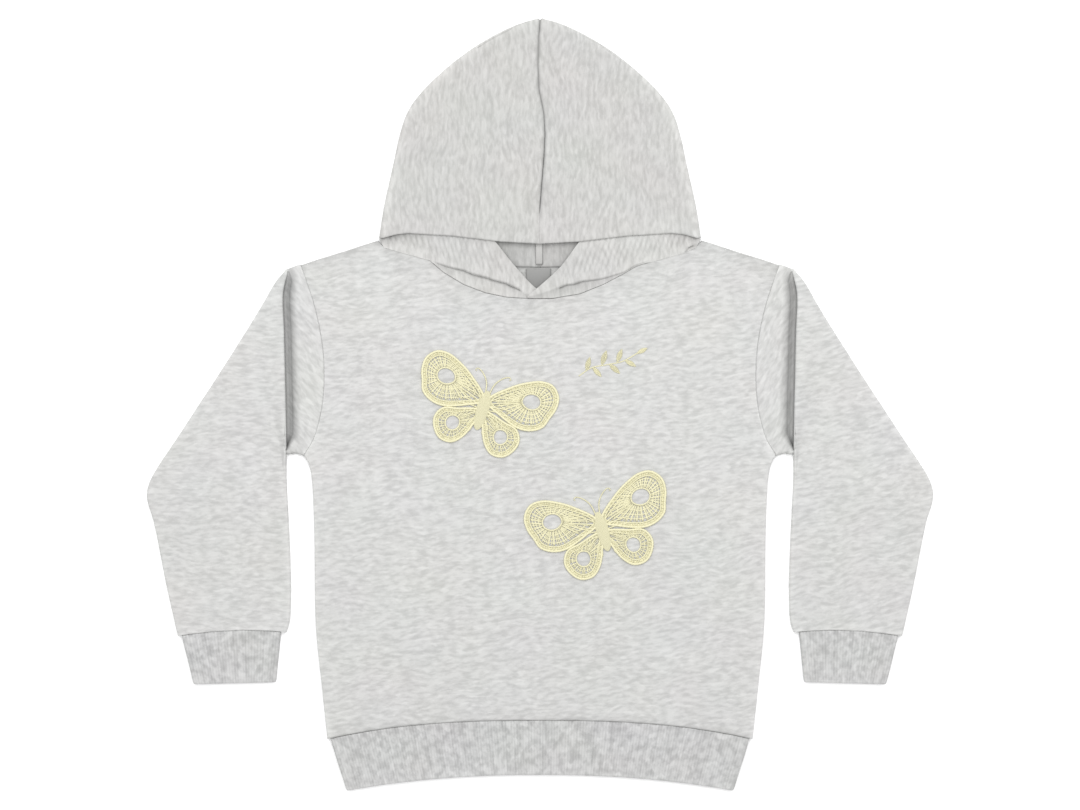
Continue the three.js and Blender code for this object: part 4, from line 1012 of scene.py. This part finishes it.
# A small leaf sprig in satin stitch on the chest. Each leaf: x and h of its foot, turn in degrees, length.
SPRIG_STEM = [(0.030, 0.3235), (0.040, 0.3300), (0.052, 0.3325), (0.064, 0.3350), (0.076, 0.3415)]
SPRIG_LEAVES = [
    (0.036, 0.3277, 75, 0.011), (0.041, 0.3306, -48, 0.010), (0.048, 0.3320, 72, 0.012), (0.054, 0.3330, -42, 0.011),
    (0.060, 0.3343, 70, 0.011), (0.066, 0.3362, -30, 0.010), (0.0755, 0.3412, 28, 0.009),
]
STEM_CORD, LEAF_CORD, LEAF_THREADS, LEAF_HALF, LEAF_RISE = 0.00042, 0.00038, 13, 0.19, 0.00035


def sprig(material):
    mesh = Cloth()
    stem = smooth_line(SPRIG_STEM)(np.linspace(0, 1, 90))
    height = front_height(stem[:, 0], stem[:, 1]) + CLOTH / 2 + 0.0002
    mesh.add_cord(stack(stem[:, 0], stem[:, 1], height), STEM_CORD * (1 + 0.2 * np.sin(np.arange(90) * 1.9)))
    for x, h, turn, length in SPRIG_LEAVES:
        cos, sin = math.cos(math.radians(turn)), math.sin(math.radians(turn))
        for k in range(LEAF_THREADS):
            share = (k + 0.5) / LEAF_THREADS
            half = LEAF_HALF * length * math.sin(math.pi * share ** 0.8) + 0.0002
            across = np.linspace(-half, half, 7)
            px = x + cos * length * share - across * sin + np.abs(across) * 0.5 * cos
            ph = h + sin * length * share + across * cos + np.abs(across) * 0.5 * sin
            rise = LEAF_RISE * (1 - (across / half) ** 2)
            mesh.add_cord(stack(px, ph, front_height(px, ph) + CLOTH / 2 + 0.0001 + rise), LEAF_CORD, sides=5)
    mesh.finish("Sprig", "root", "lace", None, material)


# Materials: small node groups that put out colours and heights, each used by one or more materials.
class Wiring:
    """A node tree in the making. Every method but add gives back the new node's output."""

    def __init__(self, tree):
        self.tree = tree

    def add(self, kind, inputs=None, **fields):
        """A new node with its fields set, and each named input linked to a socket or set to a value."""
        made = self.tree.nodes.new("ShaderNode" + kind)
        for field, value in fields.items():
            setattr(made, field, value)
        for key, value in (inputs or {}).items():
            if isinstance(value, bpy.types.NodeSocket):
                self.tree.links.new(value, made.inputs[key])
            else:
                made.inputs[key].default_value = value
        return made

    def math(self, operation, *values):
        return self.add("Math", dict(enumerate(values)), operation=operation).outputs[0]

    def vector(self, operation, *values):
        return self.add("VectorMath", dict(enumerate(values)), operation=operation).outputs[0]

    def centred(self, value):
        return self.math("SUBTRACT", value, 0.5)

    def wave(self, place, pitch):
        """A sine wave with one crest for each pitch."""
        return self.math("SINE", self.math("MULTIPLY", self.math("DIVIDE", place, pitch), 2 * math.pi))

    def spread(self, value, low, high, to_low=0.0, to_high=1.0):
        inputs = {"Value": value, "From Min": low, "From Max": high, "To Min": to_low, "To Max": to_high}
        return self.add("MapRange", inputs, interpolation_type="SMOOTHSTEP").outputs["Result"]

    def noise(self, vector, scale, detail=2.0, roughness=0.55, output="Fac"):
        inputs = {"Vector": vector, "Scale": scale, "Detail": detail, "Roughness": roughness}
        return self.add("TexNoise", inputs).outputs[output]

    def blend(self, share, first, second, **fields):
        return self.add("Mix", {"Factor": share, 6: first, 7: second}, data_type="RGBA", **fields).outputs[2]

    def group(self, make, inputs):
        name = make.__name__.capitalize()
        tree = bpy.data.node_groups.get(name) or make(name)
        return self.add("Group", inputs, node_tree=tree).outputs

    def attribute(self, name, output):
        return self.add("Attribute", attribute_name=name, attribute_type="GEOMETRY").outputs[output]


def new_group(name, inputs, outputs):
    """A shader node group's tree, with the sockets that lead in and out of it."""
    tree = bpy.data.node_groups.new(name, "ShaderNodeTree")
    for kind, label, default in inputs:
        socket = tree.interface.new_socket(label, in_out="INPUT", socket_type="NodeSocket" + kind)
        socket.default_value = default
    for kind, label in outputs:
        tree.interface.new_socket(label, in_out="OUTPUT", socket_type="NodeSocket" + kind)
    return tree, tree.nodes.new("NodeGroupInput").outputs, tree.nodes.new("NodeGroupOutput").inputs


# How the melange's fibres wander and cluster. Scales are per metre, or per streak for the clouds.
WANDER_SCALE, WANDER_REACH, CLOUD_SCALE = 20.0, 0.010, 0.38
GRAIN_SCALE, FUZZ_SCALE, UNEVEN_SCALE = 1100.0, 900.0, 260.0
DARK_SPAN, LIGHT_SPAN = (0.22, 0.72), (0.58, 0.72)
BASE_SHARE, LIGHT_SHARE, GRAIN_SHARE, TINT_SHARE = 0.85, 0.35, 0.35, 0.014


def melange(name):
    """Melange cloth: short dark and light streaks of fibre along the yarn, faint clouds and a few bright flecks."""
    tree, given, out = new_group(name, [
        ("Vector", "Vector", (0, 0, 0)),
        ("Color", "Dark", (0.5, 0.5, 0.5, 1)),
        ("Color", "Light", (0.8, 0.8, 0.8, 1)),
        ("Float", "Streak Length", 0.009),
        ("Float", "Streak Width", 0.0016),
        ("Float", "Tilt", 0.0),
        ("Float", "Contrast", 0.5),
        ("Float", "Cloud", 0.15),
    ], [("Color", "Color"), ("Float", "Height")])
    wires = Wiring(tree)
    wander = wires.noise(given["Vector"], WANDER_SCALE, 1.0, output="Color")
    offset = wires.vector("MULTIPLY", wires.vector("SUBTRACT", wander, (0.5, 0.5, 0.5)), (WANDER_REACH,) * 3)
    moved = wires.vector("ADD", given["Vector"], offset)
    turned = wires.add("VectorRotate", {"Vector": moved, "Angle": given["Tilt"]}, rotation_type="Z_AXIS").outputs[0]
    size = wires.add("CombineXYZ", {"X": given["Streak Length"], "Y": given["Streak Width"], "Z": 0.01}).outputs[0]
    scaled = wires.vector("DIVIDE", turned, size)
    shifted = wires.vector("ADD", scaled, (17.3, 41.7, 5.1))
    cloud = wires.noise(scaled, CLOUD_SCALE)
    grain = wires.noise(given["Vector"], GRAIN_SCALE, 1.0)
    streak = wires.noise(scaled, 1.0, 2.0, 0.5)
    streak = wires.math("MULTIPLY_ADD", wires.centred(cloud), given["Cloud"], streak)
    dark = wires.spread(streak, *DARK_SPAN, 1.0, 0.0)
    light = wires.spread(wires.noise(shifted, 1.0, 0.0), *LIGHT_SPAN)
    share = wires.math("MULTIPLY_ADD", dark, wires.math("MULTIPLY", given["Contrast"], -1.0), BASE_SHARE)
    share = wires.math("MULTIPLY_ADD", light, wires.math("MULTIPLY", given["Contrast"], LIGHT_SHARE), share)
    share = wires.math("MULTIPLY_ADD", wires.centred(grain), GRAIN_SHARE, share)
    colour = wires.blend(share, given["Dark"], given["Light"], clamp_factor=True)
    tree.links.new(wires.blend(TINT_SHARE, colour, wander), out["Color"])
    tree.links.new(wires.math("SUBTRACT", 1.0, dark), out["Height"])
    return tree


def nap(name):
    """The brushed surface of sweatshirt knit: fine wales and courses, half lost in short fuzz."""
    tree, given, out = new_group(name, [
        ("Vector", "Vector", (0, 0, 0)),
        ("Float", "Wale Pitch", 0.0011),
        ("Float", "Course Pitch", 0.0008),
        ("Float", "Fuzz", 0.6),
    ], [("Float", "Height")])
    wires = Wiring(tree)
    place = wires.add("SeparateXYZ", {0: given["Vector"]}).outputs
    wale = wires.wave(place[0], given["Wale Pitch"])
    course = wires.wave(place[1], given["Course Pitch"])
    knit = wires.math("MULTIPLY_ADD", wale, 0.3, wires.math("MULTIPLY", course, 0.15))
    fuzz = wires.noise(given["Vector"], FUZZ_SCALE, 3.0, 0.7)
    height = wires.math("MULTIPLY_ADD", fuzz, given["Fuzz"], wires.math("MULTIPLY", knit, 0.5))
    tree.links.new(height, out["Height"])
    return tree


def thread(name):
    """Twisted yarn or close weave: fine slanted ridges, with painted shade making the hollow between them slightly
    darker.
    """
    tree, given, out = new_group(name, [
        ("Vector", "Vector", (0, 0, 0)),
        ("Color", "Groove", (0.5, 0.5, 0.4, 1)),
        ("Color", "Crest", (0.8, 0.8, 0.7, 1)),
        ("Float", "Pitch", 0.0007),
        ("Float", "Slant", 0.8),
        ("Float", "Variation", 0.3),
    ], [("Color", "Color"), ("Float", "Height")])
    wires = Wiring(tree)
    place = wires.add("SeparateXYZ", {0: given["Vector"]}).outputs
    run = wires.math("MULTIPLY_ADD", place[1], given["Slant"], place[0])
    ridge = wires.spread(wires.wave(run, given["Pitch"]), -1.0, 0.6)
    uneven = wires.noise(given["Vector"], UNEVEN_SCALE)
    share = wires.math("MULTIPLY_ADD", wires.centred(uneven), given["Variation"], ridge)
    tree.links.new(wires.blend(share, given["Groove"], given["Crest"], clamp_factor=True), out["Color"])
    tree.links.new(ridge, out["Height"])
    return tree


SHEEN_ROUGHNESS, CLOTH_SHINE = 0.6, 0.25


def new_material(name, sheen, roughness, surface):
    """The material of that name. A new one gets its shader, with the colour, height and bump that surface makes."""
    if name in bpy.data.materials:
        return bpy.data.materials[name]
    material = bpy.data.materials.new(name)
    material.use_nodes = True
    material.node_tree.nodes.clear()
    wires = Wiring(material.node_tree)
    shader = wires.add("BsdfPrincipled", {
        "Roughness": roughness, "Sheen Weight": sheen, "Sheen Roughness": SHEEN_ROUGHNESS,
        "Specular IOR Level": CLOTH_SHINE})
    wires.add("OutputMaterial", {"Surface": shader.outputs[0]})
    place, shade = wires.attribute("cloth", "Vector"), wires.attribute("shade", "Fac")
    colour, height, strength, depth = surface(wires, place)
    raised = wires.add("Bump", {"Strength": strength, "Distance": depth, "Height": height})
    shaded = wires.add("VectorMath", {0: colour, "Scale": wires.math("SUBTRACT", 1.0, shade)}, operation="SCALE")
    wires.tree.links.new(shaded.outputs[0], shader.inputs["Base Color"])
    wires.tree.links.new(raised.outputs["Normal"], shader.inputs["Normal"])
    return material


def cloth_material(name, dark, light, streak, tilt, contrast, cloud):
    """Melange cloth. The streak is given as shares of the set length and width."""
    cloth = bpy.context.scene.hoodie_cloth

    def surface(wires, place):
        fibres = wires.group(melange, {
            "Vector": place, "Dark": (*dark, 1), "Light": (*light, 1),
            "Streak Length": cloth.streak_length * streak[0], "Streak Width": cloth.streak_width * streak[1],
            "Tilt": tilt, "Contrast": contrast, "Cloud": cloud})
        brushed = wires.group(nap, {"Vector": place})
        height = wires.math("MULTIPLY_ADD", fibres["Height"], 0.2, wires.math("MULTIPLY", brushed["Height"], 0.4))
        return fibres["Color"], height, 0.8, cloth.nap_height

    return new_material(name, 0.12, 0.95, surface)


# The colour for the hollows between the yarn's ridges is painted shade, darker than the crest's colour.
def thread_material(name, shaded_groove, crest, pitch, slant, depth, roughness=0.75):
    def surface(wires, place):
        yarn = wires.group(thread, {
            "Vector": place, "Groove": (*shaded_groove, 1), "Crest": (*crest, 1), "Pitch": pitch, "Slant": slant})
        return yarn["Color"], yarn["Height"], 0.7, depth

    return new_material(name, 0.1, roughness, surface)


def floor_material(colour):
    material = bpy.data.materials.new("Floor")
    material.use_nodes = True
    shader = material.node_tree.nodes["Principled BSDF"]
    for key, value in (("Base Color", (*colour, 1)), ("Roughness", 0.9), ("Specular IOR Level", 0.1)):
        shader.inputs[key].default_value = value
    return material


# The add-on's settings, operators and panel.
def colour_setting(name, description, default):
    return bpy.props.FloatVectorProperty(
        name=name, description=description, default=default, min=0, max=1, size=3, subtype="COLOR")


def length_setting(name, description, default):
    return bpy.props.FloatProperty(
        name=name, description=description, default=default, min=0, precision=5, unit="LENGTH")


class HoodieCloth(bpy.types.PropertyGroup):
    """Colours and sizes of the melange sweatshirt cloth."""
    body_dark: colour_setting("Body Dark", "Darkest fibre of the body and sleeves", (0.347, 0.347, 0.340))
    body_light: colour_setting("Body Light", "Lightest fibre of the body and sleeves", (0.520, 0.520, 0.511))
    hood_dark: colour_setting("Hood Dark", "Darkest fibre of the hood", (0.312, 0.310, 0.300))
    hood_light: colour_setting("Hood Light", "Lightest fibre of the hood", (0.460, 0.457, 0.446))
    streak_length: length_setting("Streak Length", "Length of one melange streak", 0.0074)
    streak_width: length_setting("Streak Width", "Width of one melange streak", 0.0027)
    nap_height: length_setting("Nap Height", "Depth of the brushed surface", 0.0003)


class HoodieTrim(bpy.types.PropertyGroup):
    """Colours and sizes of the ribs, lace, label and tape."""
    rib_dark: colour_setting("Rib Dark", "Darkest fibre of the ribs", (0.292, 0.292, 0.290))
    rib_light: colour_setting("Rib Light", "Lightest fibre of the ribs", (0.496, 0.496, 0.492))
    # Painted shade: the lace yarn's colour in the hollows between its ridges.
    lace_shaded_groove: colour_setting("Lace Groove", "Lace yarn between its ridges", (0.62, 0.585, 0.375))
    lace_crest: colour_setting("Lace Crest", "Lace yarn on its ridges", (0.76, 0.73, 0.505))
    label_colour: colour_setting("Label", "Woven neck label", (0.27, 0.27, 0.264))
    tape_colour: colour_setting("Seam Tape", "Tape over the hood's seam", (0.58, 0.575, 0.56))
    yarn_pitch: length_setting("Yarn Pitch", "Distance between two ridges of the lace yarn", 0.0007)


class HoodieStage(bpy.types.PropertyGroup):
    """Floor, light and camera."""
    floor_colour: colour_setting("Floor", "Plain pale floor", (0.96, 0.96, 0.96))
    light_size: length_setting("Light Size", "Side of the soft overhead light", 1.8)
    light_height: length_setting("Light Height", "Height of the soft overhead light", 1.6)
    light_power: bpy.props.FloatProperty(
        name="Light Power", description="Power of the overhead light", default=33.0, min=0, unit="POWER")
    world_strength: bpy.props.FloatProperty(
        name="World Strength", description="Even light from all round", default=0.74, min=0, subtype="FACTOR")
    camera_height: length_setting("Camera Height", "Height of the camera over the floor", 1.994)
    lens: bpy.props.FloatProperty(
        name="Lens", description="Focal length of the camera", default=85.0, min=1, unit="CAMERA")


# Each melange cloth: shares of the streak's length and width, tilt of the grain, contrast, strength of the clouds.
BODY_GRAIN = ((1, 1), -0.10, 0.60, 0.50)
HOOD_GRAIN = ((1, 1), math.pi / 2, 0.60, 0.50)
RIB_GRAIN = ((0.8, 1.5), math.pi / 2, 0.64, 0.60)


def sweatshirt():
    cloth = bpy.context.scene.hoodie_cloth
    return cloth_material("Sweatshirt", cloth.body_dark, cloth.body_light, *BODY_GRAIN)


def hood_cloth():
    cloth = bpy.context.scene.hoodie_cloth
    return cloth_material("Hood_cloth", cloth.hood_dark, cloth.hood_light, *HOOD_GRAIN)


def rib_cloth():
    trim = bpy.context.scene.hoodie_trim
    return cloth_material("Rib", trim.rib_dark, trim.rib_light, *RIB_GRAIN)


def lace_yarn():
    trim = bpy.context.scene.hoodie_trim
    return thread_material("Lace", trim.lace_shaded_groove, trim.lace_crest, trim.yarn_pitch, 0.8, 0.00015)


class HOODIE_OT_body_panels(bpy.types.Operator):
    """Make the front and back body panels"""
    bl_idname = "hoodie.body_panels"
    bl_label = "Body Panels"

    def execute(self, context):
        front_panel(sweatshirt())
        back_panel(sweatshirt())
        return {"FINISHED"}


class HOODIE_OT_sleeves(bpy.types.Operator):
    """Make both sleeves, each with the pleat that hangs over its armhole"""
    bl_idname = "hoodie.sleeves"
    bl_label = "Sleeves"

    def execute(self, context):
        for side in ("left", "right"):
            sleeve(side, sweatshirt())
        return {"FINISHED"}


class HOODIE_OT_ribs(bpy.types.Operator):
    """Make the ribbed hem band and both ribbed cuffs"""
    bl_idname = "hoodie.ribs"
    bl_label = "Ribs"

    def execute(self, context):
        hem_band(rib_cloth())
        for side in ("left", "right"):
            cuff(side, rib_cloth())
        return {"FINISHED"}


class HOODIE_OT_hood(bpy.types.Operator):
    """Make both halves of the hood"""
    bl_idname = "hoodie.hood"
    bl_label = "Hood"

    def execute(self, context):
        for side in ("left", "right"):
            hood_half(side, hood_cloth())
        return {"FINISHED"}


class HOODIE_OT_neck_trims(bpy.types.Operator):
    """Make the seam tape and the bare label inside the neck"""
    bl_idname = "hoodie.neck_trims"
    bl_label = "Neck Trims"

    def execute(self, context):
        trim = context.scene.hoodie_trim
        tape, label = trim.tape_colour, trim.label_colour
        # The first colour of each is painted shade for the hollows of its weave: its own colour darkened to 0.8 and
        # 0.85.
        tape_cloth = thread_material("Seam_tape", [0.8 * c for c in tape], tape, 0.0009, 1.0, 0.0001, 0.9)
        label_cloth = thread_material("Label", [0.85 * c for c in label], label, 0.0006, 0.0, 0.0001, 0.6)
        strip("Hood_seam_tape", "tape", "hood_seam_tape", TAPE_BOX, tape_cloth)
        strip("Neck_label", "label", "neck_label", LABEL_BOX, label_cloth, columns=31, rows=31)
        return {"FINISHED"}


class HOODIE_OT_butterflies(bpy.types.Operator):
    """Make both lace butterflies on the front"""
    bl_idname = "hoodie.butterflies"
    bl_label = "Butterflies"

    def execute(self, context):
        for row in BUTTERFLIES:
            butterfly(*row, lace_yarn())
        return {"FINISHED"}


class HOODIE_OT_sprig(bpy.types.Operator):
    """Stitch the small leaf sprig on the chest"""
    bl_idname = "hoodie.sprig"
    bl_label = "Leaf Sprig"

    def execute(self, context):
        sprig(lace_yarn())
        return {"FINISHED"}


# The floor lies a hair under the hoodie.
FLOOR_Z, FLOOR_HALF = -0.0002, 3
LIGHT_X, LIGHT_Y, LIGHT_TURN = 0.03, 0.50, (-17, 1, 0)
CAMERA_Y, SENSOR_WIDTH = -0.0004, 36.0


class HOODIE_OT_stage(bpy.types.Operator):
    """Lay out the floor, the soft light and the camera over the hoodie"""
    bl_idname = "hoodie.stage"
    bl_label = "Stage"

    def execute(self, context):
        setup = context.scene.hoodie_stage
        mesh = bpy.data.meshes.new("Floor")
        corners = [(x * FLOOR_HALF, y * FLOOR_HALF, FLOOR_Z) for x, y in ((-1, -1), (1, -1), (1, 1), (-1, 1))]
        mesh.from_pydata(corners, [], [(0, 1, 2, 3)])
        mesh.materials.append(floor_material(setup.floor_colour))
        floor = bpy.data.objects.new("Floor", mesh)
        context.collection.objects.link(floor)
        lamp = bpy.data.lights.new("Soft_light", "AREA")
        lamp.shape, lamp.size, lamp.energy = "SQUARE", setup.light_size, setup.light_power
        light = bpy.data.objects.new("Soft_light", lamp)
        light.location = (LIGHT_X, LIGHT_Y, setup.light_height)
        light.rotation_euler = [math.radians(turn) for turn in LIGHT_TURN]
        context.collection.objects.link(light)
        world = bpy.data.worlds.new("Soft_world")
        world.use_nodes = True
        world.node_tree.nodes["Background"].inputs["Color"].default_value = (1, 1, 1, 1)
        world.node_tree.nodes["Background"].inputs["Strength"].default_value = setup.world_strength
        context.scene.world = world
        context.scene.view_settings.view_transform = "Standard"
        lens = bpy.data.cameras.new("Camera")
        lens.lens, lens.sensor_width = setup.lens, SENSOR_WIDTH
        camera = bpy.data.objects.new("Camera", lens)
        camera.location = (0, CAMERA_Y, setup.camera_height)
        context.collection.objects.link(camera)
        context.scene.camera = camera
        return {"FINISHED"}


OPERATORS = (
    HOODIE_OT_body_panels, HOODIE_OT_sleeves, HOODIE_OT_ribs, HOODIE_OT_hood, HOODIE_OT_neck_trims,
    HOODIE_OT_butterflies, HOODIE_OT_sprig, HOODIE_OT_stage,
)
SETTINGS = {"hoodie_cloth": HoodieCloth, "hoodie_trim": HoodieTrim, "hoodie_stage": HoodieStage}


class HOODIE_PT_panel(bpy.types.Panel):
    """The hoodie's operators and settings, in the sidebar"""
    bl_idname = "HOODIE_PT_panel"
    bl_label = "Hoodie"
    bl_space_type = "VIEW_3D"
    bl_region_type = "UI"
    bl_category = "Hoodie"

    def draw(self, context):
        for operator in OPERATORS:
            self.layout.operator(operator.bl_idname)
        for name, group in SETTINGS.items():
            for setting in group.__annotations__:
                self.layout.prop(getattr(context.scene, name), setting)


def register():
    for kind in (*SETTINGS.values(), *OPERATORS, HOODIE_PT_panel):
        bpy.utils.register_class(kind)
    for name, kind in SETTINGS.items():
        setattr(bpy.types.Scene, name, bpy.props.PointerProperty(type=kind))


def unregister():
    for name in SETTINGS:
        delattr(bpy.types.Scene, name)
    for kind in (HOODIE_PT_panel, *reversed(OPERATORS), *SETTINGS.values()):
        bpy.utils.unregister_class(kind)


def main():
    """Register the add-on, then make every piece and the stage."""
    register()
    for operator in OPERATORS:
        family, name = operator.bl_idname.split(".")
        getattr(getattr(bpy.ops, family), name)()


if __name__ == "__main__":
    main()
